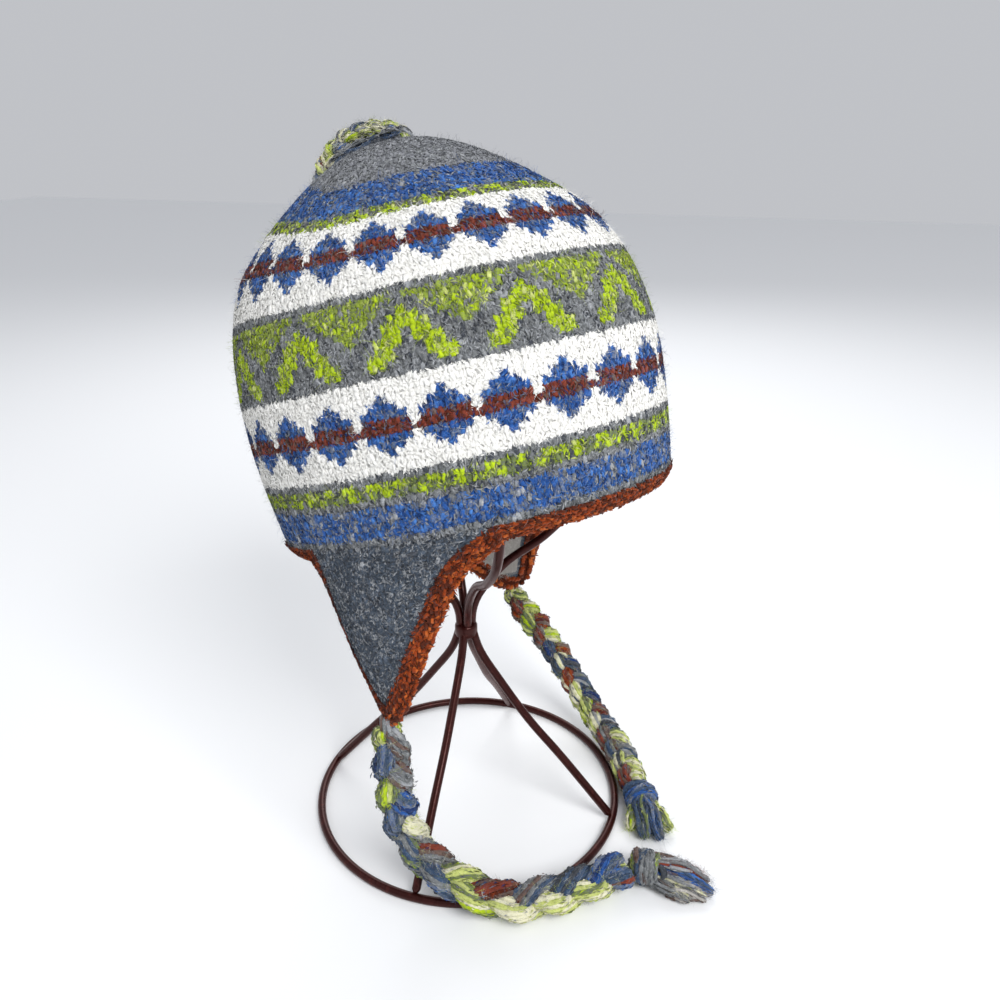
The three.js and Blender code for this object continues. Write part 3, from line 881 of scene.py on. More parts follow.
def place_camera():
    data = bpy.data.cameras.new("camera")
    data.lens = FOCAL_LENGTH
    data.sensor_width = SENSOR
    camera = add_object("camera", data)
    camera.location = np.array(CAMERA_AT) * MM + RING_CENTRE
    camera.rotation_euler = (math.radians(CAMERA_TILT), 0, math.radians(CAMERA_TURN))
    bpy.context.scene.camera = camera


place_camera()

# Plaits: three strands of several yarns each. What shows of a strand as it crosses over is a lobe, and the
# lobes of each plait are listed from its top down, left and right in turn, by their yarns

PLAIT_FACE = np.array([0.25, -0.62, 0.74])
LOBE_YARNS = {
    "right": [
        "YDYL", "GNGH", "SMSJ", "GNHG", "DLYD", "SBJM", "SMSG", "CCYH", "SDSG", "GNRG", "SMGS",
        "DYCD", "YDLC", "RNQR", "CYCC", "NGSG", "CYCY", "SKMS", "YCYD", "SBJM", "SMRS", "YLCD",
    ],
    "left": [
        "KYGC", "YDYC", "RNOQ", "CYYL", "LDYD", "RONQ", "NRNG", "YLDC", "SKJS", "RONC", "SKSC",
        "SKJC", "ORCO", "GSHS", "CYCS", "SKSJ", "YDYL", "RNOR", "CYCH", "SKHS", "NRGN", "YCYD", "GNGS", "GCHS",
    ],
    "loop": ["YLCY", "SMHS", "YCHC", "CYCR", "CCYC", "YCYL", "HMHC", "GCHH"],
}
PLAIT_PITCH = {"right": 6.4, "left": 4.2, "loop": 4.8}
STRANDS = 3
YARNS_PER_STRAND = 10
YARN_TWIST = 1.2
HALO_YARNS = "GH" * 24
BRAID_FUZZ = 4000
BRAID_STEP = 1.5
LOOP_FUZZ = 1500
LOBE_LEAD = 1.9
# Shares of the plait's radius: a strand's own, and how far it swings across and over
STRAND_SIZE = 0.54
STRAND_SWING = 0.5
STRAND_RISE = 0.34
# Shares of the strand's radius: how far out its yarns lie, how much they wander and their half width
YARN_REACH = 0.64
YARN_FLATTEN = 0.92
YARN_WANDER = 0.12
YARN_HALF = 0.34
PLAIT_END_RUN = 0.5
PLAIT_END_SHARE = 0.4
PLAIT_FUZZ_ROOT = 0.85
# How fast a yarn wavers along its way, in radians a millimetre, and how yarns differ in size
WAVER = (0.2, 0.5)
YARN_STOUT = (0.8, 1.15)
FULL_TURN = 6.3


def make_plait(side, line, radius, rng):
    """A three-strand plait along a line of even steps; the radius may change along it."""
    arc = arc_along(line)
    radius = np.broadcast_to(np.asarray(radius, float), len(line))
    pitch = PLAIT_PITCH[side] * radius.mean()
    along = unit(np.gradient(line, axis=0))
    across = unit(np.cross(PLAIT_FACE, along))
    over = np.cross(along, across)
    strand_radius = STRAND_SIZE * radius
    lobes = LOBE_YARNS[side]
    parts = []
    for number in range(STRANDS):
        angle = 2 * np.pi * (arc / pitch + number / STRANDS)
        first = 1.5 - 2 * number
        lobe = 1 - 2 * number + 3 * np.floor((6 * arc / pitch - first + LOBE_LEAD) / 3).astype(int)
        lobe = np.maximum(lobe, 0) % len(lobes)
        middle = (line + across * (STRAND_SWING * radius * np.sin(angle))[:, None]
                  + over * (STRAND_RISE * radius * np.sin(2 * angle))[:, None])
        way = unit(np.gradient(middle, axis=0))
        edge = unit(np.cross(way, PLAIT_FACE))
        top = np.cross(edge, way)
        ring = np.minimum(1, np.minimum(arc, arc[-1] - arc) / (PLAIT_END_RUN * radius) + PLAIT_END_SHARE)
        paths, letters = [], []
        for yarn in range(YARNS_PER_STRAND):
            spin = 2 * np.pi * (yarn / YARNS_PER_STRAND + YARN_TWIST * arc / pitch)
            wander = YARN_WANDER * strand_radius * np.sin(arc * rng.uniform(*WAVER) + rng.uniform(0, FULL_TURN))
            reach = (YARN_REACH * strand_radius + wander) * ring
            paths.append(middle + edge * (reach * np.cos(spin))[:, None]
                         + top * (YARN_FLATTEN * reach * np.sin(spin))[:, None])
            letters.append([lobes[place][yarn % len(lobes[place])] for place in lobe])
        paths, letters = np.array(paths), np.array(letters)
        half = YARN_HALF * strand_radius * rng.uniform(*YARN_STOUT, (YARNS_PER_STRAND, 1))
        parts.append(strands(paths, np.broadcast_to(top, paths.shape), half, half, letters[:, 1:], 5))
        parts.append(yarn_felt(paths, unit(paths - middle), half, letters, 2, rng))
    return parts


def plait_fuzz(line, radius, letters, count, rng):
    along = unit(np.gradient(line, axis=0))
    pick = rng.integers(2, len(line) - 2, count)
    side = unit(np.cross(along[pick], PLAIT_FACE))
    over = np.cross(side, along[pick])
    angle = rng.uniform(0, 2 * np.pi, count)[:, None]
    out = side * np.cos(angle) + over * np.sin(angle)
    root = line[pick] + out * (np.broadcast_to(radius, len(line))[pick] * PLAIT_FUZZ_ROOT)[:, None]
    yarn = np.array(list(letters))[rng.integers(0, len(letters), count)]
    return hairs(root, out, along[pick], yarn, count, rng, "plait")


def lock_line(knot, lock, steps=14):
    """Centre line of a lock of yarn and its half width and height along it, as in the solid."""
    turn, length, wide, high, rise, bend = lock
    share = np.linspace(0, 1, steps)
    heading = np.radians(turn + bend * share)
    way = np.stack([np.cos(heading), np.sin(heading), 0 * heading], axis=1)
    flat = np.vstack([[0, 0, 0], np.cumsum(way[:-1] * length / (steps - 1), axis=0)]) + [knot[0], knot[1], 0]
    taper = mix(LOCK_BASE_SIZE, LOCK_END_SIZE, share)
    size = taper + (1 - taper) * np.sin(np.pi * share**LOCK_SWELL_BIAS)
    flat[:, 2] = FLOOR_CLEAR + high / 2 * size + rise * (1 - share)
    return flat, wide / 2 * size, high / 2 * size


LOCK_YARNS = {
    "right": ["GNGRNG", "NGRGNH", "BMVMBSH", "PGCNGP", "GPGNCG"],
    "left": ["YLDYDC", "SDSGMS", "SMSBGS", "LYDDYC"],
}
LOCK_YARN_COUNT = 20
KNOT_YARNS = {"right": "GDGKNGSG", "left": "BMSSJBMS"}
KNOT_WRAPS = 12
LOCK_FUZZ = 260
# A lock's yarns: how far out they lie, their turn about the lock, how they wander, and their size
LOCK_SPREAD = 0.8
LOCK_YARN_TURN = 2.4
LOCK_YARN_SCATTER = 0.3
LOCK_YARN_DRIFT = 0.9
LOCK_WAVE = 0.15
LOCK_HEAVE = 0.12
LOCK_WAVER = (5, 13)
LOCK_YARN_HALF = 0.19
LOCK_YARN_STOUT = (0.8, 1.25)
LOCK_FUZZ_RISE = 0.75
KNOT_FUZZ = 500
KNOT_YARN_WIDE = 1.6
KNOT_YARN_DEEP = 1.3
KNOT_STEPS = 26
KNOT_SPAN = 0.85
KNOT_GIRTH = (0.8, 0.9)
KNOT_LEAN = 0.5


def make_lock(line, wide, high, letters, rng):
    """A lock of soft yarns that wander a little and draw together at its end."""
    up = np.array([0.0, 0, 1])
    way = unit(np.gradient(line, axis=0))
    across = unit(np.cross(up, way))
    over = np.cross(way, across)
    share = np.linspace(0, 1, len(line))
    paths = []
    for yarn in range(LOCK_YARN_COUNT):
        place = np.sqrt((yarn + 0.5) / LOCK_YARN_COUNT) * LOCK_SPREAD
        angle = (yarn * LOCK_YARN_TURN + rng.uniform(-LOCK_YARN_SCATTER, LOCK_YARN_SCATTER)
                 + share * rng.uniform(-LOCK_YARN_DRIFT, LOCK_YARN_DRIFT))
        wave = LOCK_WAVE * np.sin(share * rng.uniform(*LOCK_WAVER) + rng.uniform(0, FULL_TURN))
        heave = LOCK_HEAVE * np.sin(share * rng.uniform(*LOCK_WAVER) + rng.uniform(0, FULL_TURN))
        paths.append(line + across * (wide * (place * np.cos(angle) + wave))[:, None]
                     + over * (high * (place * np.sin(angle) + heave))[:, None])
    paths = np.array(paths)
    stout = rng.uniform(*LOCK_YARN_STOUT, (LOCK_YARN_COUNT, 1))
    thick = np.mean(wide) * LOCK_YARN_HALF * stout * (1 - 0.5 * share**3)
    shown = np.array([letters[yarn % len(letters)] for yarn in range(LOCK_YARN_COUNT)])
    fuzz_place = line + over * (high * LOCK_FUZZ_RISE)[:, None]
    fuzz_yarn = np.array(list(letters))[rng.integers(0, len(letters), len(line))]
    return [
        strands(paths, np.broadcast_to(over, paths.shape), thick, thick, shown, 5),
        yarn_felt(paths, unit(paths - line + over * 0.2), thick, np.repeat(shown[:, None], len(line), axis=1), 2, rng),
        hairs(fuzz_place, over, way, fuzz_yarn, LOCK_FUZZ, rng, "lock"),
    ]


def make_knot(knot, half, axis, letters, rng):
    """Yarn wound round the tied end, each turn tilted its own way."""
    across = unit(np.cross(np.array([0.0, 0, 1]), axis))
    over = np.cross(axis, across)
    angle = np.linspace(0, 2 * np.pi, KNOT_STEPS)
    paths = []
    for wrap in range(KNOT_WRAPS):
        along = mix(-KNOT_SPAN, KNOT_SPAN, wrap / (KNOT_WRAPS - 1))
        girth = math.sqrt(1 - along * along) * rng.uniform(*KNOT_GIRTH)
        lean, start = rng.uniform(-KNOT_LEAN, KNOT_LEAN), rng.uniform(0, FULL_TURN)
        paths.append(knot + np.multiply.outer(along * half[0] + lean * half[0] * np.cos(angle + start), axis)
                     + np.multiply.outer(girth * half[1] * np.cos(angle), across)
                     + np.multiply.outer(girth * half[2] * np.sin(angle), over))
    paths = np.array(paths)
    out = unit(paths - knot)
    shown = np.array([letters[wrap % len(letters)] for wrap in range(KNOT_WRAPS)])
    fuzz_yarn = np.repeat(shown, len(angle))
    thick = np.full(paths.shape[:2], KNOT_YARN_DEEP)
    ways = unit(np.gradient(paths, axis=1)).reshape(-1, 3)
    return [
        strands(paths, out, KNOT_YARN_WIDE, KNOT_YARN_DEEP, shown, 6),
        yarn_felt(paths, out, thick, np.repeat(shown[:, None], len(angle), axis=1), 2, rng),
        hairs((paths + out).reshape(-1, 3), out.reshape(-1, 3), ways, fuzz_yarn, KNOT_FUZZ, rng, "knot"),
    ]


def make_tassel_parts(side, rng):
    tassel = TASSELS[side]
    knot, half = np.array(tassel["knot"]), np.array(tassel["half"])
    parts = []
    for lock, letters in zip(tassel["locks"], LOCK_YARNS[side]):
        parts += make_lock(*lock_line(knot, lock), letters, rng)
    middle_lock = lock_line(knot, tassel["locks"][len(tassel["locks"]) // 2])[0]
    axis = unit(middle_lock[4] - middle_lock[0])
    return parts + make_knot(knot, half, axis, KNOT_YARNS[side], rng)


# A plait starts slim, where its strands are tied into the flap
NECK_SHARE = 0.72
NECK_RUN = 16.0
TIE_YARNS = 9
TIE_SINK = 4.0
TIE_REACH = 6.0
TIE_HALF = 1.0
TIE_STEPS = 6
TIE_SPREAD = (0.5, 0.3)


def make_tie(side, line, radius):
    """Yarns that run from the top of the plait up into the tip of the flap."""
    way = unit(line[0] - line[2])
    across = unit(np.cross(way, PLAIT_FACE))
    over = np.cross(way, across)
    angle = np.linspace(0, 2 * np.pi, TIE_YARNS, endpoint=False)[:, None]
    out = across * np.cos(angle) + over * np.sin(angle)
    reach = np.linspace(-TIE_SINK, TIE_REACH, TIE_STEPS)
    spread = np.linspace(*TIE_SPREAD, TIE_STEPS) * radius
    paths = line[0] + way * reach[:, None] + out[:, None] * spread[:, None]
    letters = list("".join(LOBE_YARNS[side]))[:TIE_YARNS]
    return strands(paths, out, TIE_HALF, TIE_HALF, letters, 5)


def make_cords():
    for side in ("right", "left"):
        rng = chance(f"braid_{side}")
        line = route_spline(BRAID_ROUTES[side], BRAID_STEP)
        radius = BRAID_RADIUS[side]
        slim = radius * np.minimum(1, NECK_SHARE + (1 - NECK_SHARE) * arc_along(line) / NECK_RUN)
        parts = make_plait(side, line, slim, rng)
        parts.append(make_tie(side, line, slim[0]))
        parts.append(plait_fuzz(line, slim, "".join(LOBE_YARNS[side]) + HALO_YARNS, BRAID_FUZZ, rng))
        plait = make_piece(f"braid_{side}_plait", parts, "braid_yarn", f"braid_{side}")
        tassel = make_piece(f"tassel_{side}_yarn", make_tassel_parts(side, rng), "tassel_yarn", f"tassel_{side}")


make_cords()

# Knit stitches: each is two slanting legs, given as shares of its width and height and depth in millimetres

LEG_ACROSS = np.array([0.05, 0.17, 0.33, 0.42])
LEG_UP = np.array([-0.70, -0.24, 0.42, 0.98])
LEG_OUT = np.array([-1.45, -0.62, -0.58, -1.05])
LEG_WIDE = np.array([0, 0.29, 0.30, 0])
LEG_DEEP = np.array([0, 0.60, 0.62, 0])
BACKING_DEPTH = 0.95
# How uneven the stitches are: along the row, up it, out of it and in size
STITCH_SHIFT = 0.07
STITCH_RAISE = 0.08
STITCH_PUSH = 0.12
STITCH_STOUT = 0.08


def stitches(points, round_way, up_way, out_way, wide, high, letters, rng):
    """Both legs of every stitch, each a little uneven."""
    count = len(points)
    parts = []
    for side in (-1, 1):
        shift = rng.normal(0, STITCH_SHIFT, (count, 1)) * wide[:, None]
        lift = rng.normal(0, STITCH_RAISE, (count, 1)) * high[:, None]
        across = side * LEG_ACROSS * wide[:, None] + shift
        up = LEG_UP * high[:, None] + lift
        out = LEG_OUT + rng.normal(0, STITCH_PUSH, (count, 1))
        paths = (points[:, None] + round_way[:, None] * across[..., None] + up_way[:, None] * up[..., None]
                 + out_way[:, None] * out[..., None])
        stout = rng.normal(1, STITCH_STOUT, (count, 1))
        shown = blend(letters, rng)
        parts.append(strands(paths, out_way, LEG_WIDE * wide[:, None] * stout, LEG_DEEP * stout, shown, 4))
    corners = [points + round_way * (across * wide / 2)[:, None] + up_way * (up * high / 2)[:, None]
               - out_way * BACKING_DEPTH for across, up in ((-1, -1), (1, -1), (1, 1), (-1, 1))]
    first = np.arange(count)[:, None] * 4
    faces = np.concatenate([first + [0, 1, 2], first + [0, 2, 3]], axis=1).reshape(-1, 3)
    parts.append((np.stack(corners, axis=1).reshape(-1, 3), faces, np.repeat(letters, 2)))
    return parts


def band_rows():
    """Every row of the cap: band name, place up the wall, row height, stitch count and letters."""
    ends = [start for _, start, _, _ in BANDS[1:]] + [WALL_LENGTH - TOP_CLEAR]
    for (name, start, turned, chart), end in zip(BANDS, ends):
        rows = chart if name != "top" else chart * int((end - start) / ROW_HEIGHT)
        high = (end - start) / len(rows)
        for number, row in enumerate(rows):
            arc = start + (number + 0.5) * high
            count = STITCHES
            if start >= NARROWING_FROM:
                radius = np.interp(arc, WALL_ARC, WALL[:, 0])
                count = max(8, 4 * int(round(ROUND_LENGTH * radius / TOP_STITCH / 4)))
            column = (np.arange(count) + turned) % len(row)
            yield name, arc, high, count, np.array(list(row))[column]


FELT_EACH = 12
CROWN_FUZZ = {"rim": 4000, "diamonds_low": 6000, "chevrons": 6000, "diamonds_high": 6000, "top": 6000}


def make_crown():
    gathered = {}
    for name, arc, high, count, letters in band_rows():
        band = name if name not in ("green", "blue") else "top"
        share = PATTERN_START + (np.arange(count) + 0.5) / count
        turn = turn_at_share(share)
        radius = np.interp(arc, WALL_ARC, WALL[:, 0])
        wide = np.full(count, ROUND_LENGTH * radius / count)
        place = arc + row_lift(turn, np.full(count, arc))
        gathered.setdefault(band, []).append((turn, place, wide, np.full(count, high), letters))
    for number, (band, rows) in enumerate(gathered.items()):
        rng = chance("crown", number)
        turn, place, wide, high, letters = (np.concatenate(column) for column in zip(*rows))
        points, round_way, up_way, out_way = crown_frame(turn, place)
        parts = stitches(points, round_way, up_way, out_way, wide, high, letters, rng)
        parts.append(felt(points, round_way, up_way, out_way, wide, high, letters, FELT_EACH, rng))
        shown = blend(letters, rng, FIBRES)
        parts.append(hairs(points, out_way, round_way, shown, CROWN_FUZZ[band], rng, "crown"))
        make_piece(f"crown_{band}_knit", parts, "pattern_knit", "crown")


# Cloth behind the stitches, with the yarn of each band's ground, and the loose floats inside
WALL_DEPTH = 1.9
WALL_COLUMNS = 72
WALL_ROWS = 40
BAND_GROUNDS = "GWGWDBG"
FLOAT_COUNT = 9000
FLOAT_LEAN = (1.35, 0.25)
FLOAT_SPREAD = (1, 1.4)


def inside_floats():
    """Loose yarn on the cap's inside, most of it running round as the pattern's floats do."""
    rng = chance("crown_floats")
    turn = rng.uniform(-180, 180, FLOAT_COUNT)
    arc = (WALL_LENGTH - TOP_CLEAR) * rng.beta(*FLOAT_SPREAD, FLOAT_COUNT)
    points, round_way, up_way, out = crown_frame(turn, arc)
    size = np.ones(FLOAT_COUNT)
    letters = np.full(FLOAT_COUNT, "I")
    return felt(points - out * KNIT, round_way, up_way, -out, size, size, letters, 1, rng, FLOAT_LEAN)


def make_crown_wall():
    """The cloth behind the stitches and the cap's inside."""
    arcs = np.linspace(0, WALL_LENGTH - 1.0, WALL_ROWS)
    turns = np.linspace(-180, 180, WALL_COLUMNS, endpoint=False)
    turn, arc = np.meshgrid(turns, arcs)
    points, _, _, out = crown_frame(turn.ravel(), arc.ravel())
    starts = [start for _, start, _, _ in BANDS]
    ground = dict(zip([name for name, _, _, _ in BANDS], BAND_GROUNDS))
    names = [BANDS[max(0, np.searchsorted(starts, a, "right") - 1)][0] for a in arc.ravel()]
    faces = grid_faces(WALL_ROWS, WALL_COLUMNS, wrap=True)
    outer = (points - out * WALL_DEPTH, faces, np.array([ground[names[i]] for i in faces[:, 0]]))
    inner = (points - out * KNIT, faces[:, ::-1], np.full(len(faces), "I"))
    rim_index = np.arange(WALL_COLUMNS)
    after = (rim_index + 1) % WALL_COLUMNS
    rim_points = np.vstack([outer[0][:WALL_COLUMNS], inner[0][:WALL_COLUMNS]])
    rim_faces = np.concatenate([
        np.stack([rim_index, rim_index + WALL_COLUMNS, after + WALL_COLUMNS], axis=1),
        np.stack([rim_index, after + WALL_COLUMNS, after], axis=1),
    ])
    rim = (rim_points, rim_faces, np.full(len(rim_faces), "G"))
    make_piece("crown_wall", [outer, inner, rim, inside_floats()], "pattern_knit", "crown")


make_crown()
make_crown_wall()

# Ear flaps and their fleece

FLAP_STITCH = 3.7
FLAP_ROW = 2.75
FLAP_FELT_EACH = 26
FLAP_FUZZ = 2500
FLAP_GRID = (30, 24)
FLEECE_FUZZ = 4000
FLEECE_GRID = (44, 36)
FLEECE_BUMP = 0.25


def make_flap(side):
    flap = FLAPS[side]
    rng = chance(f"flap_{side}")
    middle = flap_point(flap, np.full(60, 0.5), np.linspace(0, 1, 60))
    length = arc_along(middle)[-1]
    count = int(round(length / FLAP_ROW))
    across, down, wide = [], [], []
    for row in range(count):
        level = (row + 0.5) / count
        edge = flap_point(flap, np.linspace(0, 1, 30), np.full(30, level))
        width = arc_along(edge)[-1]
        number = max(2, int(round(width / FLAP_STITCH)))
        across.append((np.arange(number) + 0.5) / number)
        down.append(np.full(number, level))
        wide.append(np.full(number, width / number))
    across, down, wide = np.concatenate(across), np.concatenate(down), np.concatenate(wide)
    points, round_way, up_way, out_way = flap_frame(flap, across, down)
    letters = np.full(len(points), "F")
    high = np.full(len(points), length / count)
    parts = stitches(points, round_way, up_way, out_way, wide, high, letters, rng)
    parts.append(felt(points, round_way, up_way, out_way, wide, high, letters, FLAP_FELT_EACH, rng))
    parts.append(hairs(points, out_way, round_way, blend(letters, rng), FLAP_FUZZ, rng, "flap"))
    rows, columns = FLAP_GRID
    level, place = np.meshgrid(np.linspace(0, 1, rows), np.linspace(0, 1, columns), indexing="ij")
    skins = [flap_point(flap, place, level, depth).reshape(-1, 3) for depth in (WALL_DEPTH, KNIT)]
    faces = grid_faces(rows, columns)
    if side == "left":
        faces = faces[:, ::-1]
    parts.append((skins[0], faces[:, ::-1], np.full(len(faces), "F")))
    parts.append((skins[1], faces, np.full(len(faces), "F")))
    make_piece(f"ear_flap_{side}_knit", parts, "grey_knit", f"ear_flap_{side}")


def make_lining(side):
    flap = FLAPS[side]
    rng = chance(f"lining_{side}")
    rows, columns = FLEECE_GRID
    level, place = np.meshgrid(np.linspace(LINING_TOP, LINING_BOTTOM, rows),
                               np.linspace(LINING_SIDE, 1 - LINING_SIDE, columns), indexing="ij")
    faces = grid_faces(rows, columns)
    if side == "left":
        faces = faces[:, ::-1]
    bumps = rng.uniform(-FLEECE_BUMP, FLEECE_BUMP, level.shape)
    outer = flap_point(flap, place, level, KNIT + LINING_CLEAR).reshape(-1, 3)
    inner = flap_point(flap, place, level, KNIT + LINING_CLEAR + FLEECE + bumps).reshape(-1, 3)
    inward = flap_inward(flap, place, level).reshape(-1, 3)
    letters = np.full(len(inner), "P")
    along = unit(np.cross(inward, UP))
    parts = [
        (outer, faces[:, ::-1], np.full(len(faces), "P")),
        (inner, faces, np.full(len(faces), "P")),
        hairs(inner, inward, along, letters, FLEECE_FUZZ, rng, "fleece"),
    ]
    lining = make_piece(f"flap_lining_{side}_fleece", parts, "fleece", f"flap_lining_{side}")


for flap_side in FLAPS:
    make_flap(flap_side)
    make_lining(flap_side)

# Crochet edging: slanting rows of stitches on both faces. Each row has its place across the edging from its
# middle, how proud it stands, its slant and its yarns

CROCHET_STITCH = 2.0
CROCHET_ROWS = [
    (-5.2, 2.0, 1, "OQQ"),
    (-3.8, 2.35, 1, "OOQ"),
    (-2.4, 2.45, -1, "OQQO"),
    (-1.0, 2.4, -1, "OOQT"),
    (0.4, 2.05, 1, "OTQ"),
    (1.8, 1.3, 1, "TOO"),
]
INSIDE_ROWS = CROCHET_ROWS[1::3]
INSIDE_STOUT = 1.9
CROCHET_FELT = 3
EDGING_FUZZ = 3000
EDGING_FUZZ_RISE = 1.8
EDGING_CORE_BACK = 1.2
EDGING_STEP = 1.1
RIM_SAMPLES = 80
FLAP_EDGE_SAMPLES = 50
FLAP_TIP_SAMPLES = 6
EDGING_CORE_HALF = (3.3, 1.5)


def edge_run():
    """The cap's whole lower edge in order, with the way into the cap at each point."""
    points, inwards = [], []
    middle = KNIT / 2

    def rim(start, end):
        turns = np.linspace(start, end, RIM_SAMPLES)
        out = crown_frame(turns, np.zeros(RIM_SAMPLES))[3]
        points.append(crown_point(turns, 0.0) - out * middle)
        inwards.append(inward_at(turns) * math.cos(TRIM_ROLL) + UP * math.sin(TRIM_ROLL))

    def flap_edges(flap, first):
        level = np.linspace(0.02, 1, FLAP_EDGE_SAMPLES)
        edge = np.ones(FLAP_EDGE_SAMPLES)
        tip = np.linspace(first, 1 - first, FLAP_TIP_SAMPLES + 2)[1:-1]
        across = np.concatenate([edge * first, tip, edge * (1.0 - first)])
        down = np.concatenate([level, np.ones(FLAP_TIP_SAMPLES), level[::-1]])
        points.append(flap_point(flap, across, down, middle))
        inwards.append(flap_facing(flap, across, down))

    front, back = FLAP_FRONT - FLARE_FRONT, FLAP_BACK + FLARE_BACK
    rim(-front, front)
    flap_edges(FLAPS["left"], 0.0)
    rim(back, 360 - back)
    flap_edges(FLAPS["right"], 1.0)
    points, inwards = np.vstack(points), np.vstack(inwards)
    points, inwards = np.vstack([points, points[:1]]), np.vstack([inwards, inwards[:1]])
    arc = arc_along(points)
    marks = np.linspace(0, arc[-1], int(arc[-1] / EDGING_STEP) + 1)[:-1]
    line = np.stack([np.interp(marks, arc, points[:, axis]) for axis in range(3)], axis=1)
    inward = unit(np.stack([np.interp(marks, arc, inwards[:, axis]) for axis in range(3)], axis=1))
    return line, inward, arc[-1]


def smooth_loop(values, times):
    for _ in range(times):
        values = (np.roll(values, 1, axis=0) + 2 * values + np.roll(values, -1, axis=0)) / 4
    return values


# One crochet stitch: along the edge, across it and proud of its row, in millimetres
CROCHET_ALONG = np.array([-1.9, -0.6, 0.7, 1.9])
CROCHET_ACROSS = np.array([-0.8, -0.25, 0.25, 0.8])
CROCHET_PROUD = np.array([-0.6, 0.0, 0.0, -0.6])
CROCHET_WIDE = np.array([0, 0.76, 0.76, 0])
CROCHET_DEEP = np.array([0, 0.7, 0.7, 0])
CROCHET_TILT = 0.25
CROCHET_FELT_RISE = 0.6
# How uneven the stitches are: along, across, proud and in size
CROCHET_UNEVEN = (0.35, 0.22, 0.15, 0.1)


def make_trim():
    rng = chance("edging")
    line, inward, length = edge_run()
    line = smooth_loop(line, 3)
    along = unit(np.roll(line, -1, axis=0) - np.roll(line, 1, axis=0))
    away = unit(smooth_loop(unit(np.cross(inward, along)), 4))
    centre = line + away * (TRIM_CLEAR + TRIM_WIDE / 2)
    outside = unit(np.cross(along, away))
    outside *= np.sign(np.sum(outside * -inward, axis=1, keepdims=True))
    core_across, core_over = away * EDGING_CORE_HALF[0], -inward * EDGING_CORE_HALF[1]
    parts = [closed_tube(centre - away * EDGING_CORE_BACK, core_across, core_over, 10, "Q")]
    count = int(round(length / CROCHET_STITCH))
    at = np.arange(count) * len(line) // count
    place, way, far, face = centre[at], along[at], away[at], outside[at]
    uneven_along, uneven_across, uneven_proud, uneven_size = CROCHET_UNEVEN
    for side in (1, -1):
        for across, proud, slant, yarns in CROCHET_ROWS if side == 1 else INSIDE_ROWS:
            letters = np.array(list(yarns))[rng.integers(0, len(yarns), count)]
            step = CROCHET_ALONG + rng.normal(0, uneven_along, (count, 1))
            out = across + slant * CROCHET_ACROSS + rng.normal(0, uneven_across, (count, 1))
            up = side * (proud + CROCHET_PROUD + rng.normal(0, uneven_proud, (count, 1)))
            paths = (place[:, None] + way[:, None] * step[..., None] + far[:, None] * out[..., None]
                     + face[:, None] * up[..., None])
            stout = rng.normal(1 if side == 1 else INSIDE_STOUT, uneven_size, (count, 1))
            normal = unit(face * side + far * CROCHET_TILT)
            parts.append(strands(paths, normal, CROCHET_WIDE * stout, CROCHET_DEEP * stout, letters, 4))
            row = place + far * across + face * (side * (proud + CROCHET_FELT_RISE))
            size = np.full(count, CROCHET_STITCH)
            parts.append(felt(row, far, way, face * side, size, size, letters, CROCHET_FELT, rng))
    letters = blend(np.full(len(centre), "O"), rng)
    parts.append(hairs(centre + outside * EDGING_FUZZ_RISE, outside, along, letters, EDGING_FUZZ, rng, "edging"))
    make_piece("edge_trim_crochet", parts, "rust_crochet", "edge_trim")


make_trim()

# Loop on the crown

# The tail's dark greys, slate, brown and dark rust are painted shade: they stand for the shadow in the hollow under
# the loop's arch
TAIL_SHADE_YARNS = ["KSGNKSQNK", "SGKQGKSG", "GSKNKS"]
TAIL_HALF = 0.85
TAIL_LAYER = 1.5
TAIL_RUN = (-30, 5)
TAIL_STEPS = 16
TAIL_SPREAD = 3.8
TAIL_SWAY = 0.6
TAIL_RISE = 0.7
TAIL_FELT = 6
CAP_TOP_FROM = 100
LOOP_STEP = 1.0


def make_loop_tail(rng):
    """The loop's yarn ends, drawn back over the cap below the arch in layers, in dark yarns that are painted shade for
    the shadow under the arch.
    """
    forward = np.linspace(*TAIL_RUN, TAIL_STEPS)
    high = WALL_ARC > CAP_TOP_FROM
    behind, ahead = -WALL[high, 2] - WALL[high, 0], -WALL[high, 2] + WALL[high, 0]
    level = WALL[high, 1]
    height = np.interp(forward, np.concatenate([behind, ahead[::-1]]), np.concatenate([level, level[::-1]]))
    paths = []
    for layer, yarns in enumerate(TAIL_SHADE_YARNS):
        for left in np.linspace(-TAIL_SPREAD, TAIL_SPREAD, len(yarns)):
            sway, swell = (np.sin(forward * rng.uniform(*WAVER) + rng.uniform(0, FULL_TURN)) for _ in range(2))
            rise = TAIL_RISE + TAIL_LAYER * layer + TAIL_RISE * swell
            paths.append(cap_point(forward, left + TAIL_SWAY * sway, height + rise))
    paths = np.array(paths)
    out = unit(paths - paths.mean(axis=0) + UP)
    half = np.full(paths.shape[:2], TAIL_HALF)
    letters = np.array(list("".join(TAIL_SHADE_YARNS)))
    shown = np.repeat(letters[:, None], len(forward), axis=1)
    return [strands(paths, out, half, half, letters, 5), yarn_felt(paths, out, half, shown, TAIL_FELT, rng)]


def make_loop():
    rng = chance("loop")
    forward, up, radius = np.array(LOOP, float).T
    places = cap_point(forward, np.zeros(len(LOOP)), up)
    line = route_spline(places, LOOP_STEP)
    radius = np.interp(arc_along(line), arc_along(places) * arc_along(line)[-1] / arc_along(places)[-1], radius)
    parts = make_plait("loop", line, radius, rng)
    parts.append(plait_fuzz(line, radius, "".join(LOBE_YARNS["loop"]) + HALO_YARNS, LOOP_FUZZ, rng))
    parts += make_loop_tail(rng)
    make_piece("crown_loop_plait", parts, "braid_yarn", "crown_loop")


make_loop()

# Wire stand


RING_STEPS = 160
RING_SIDES = 16
SPOKE_STEP = 3.5
SPOKE_SIDES = 14
NECK_SIDES = 20
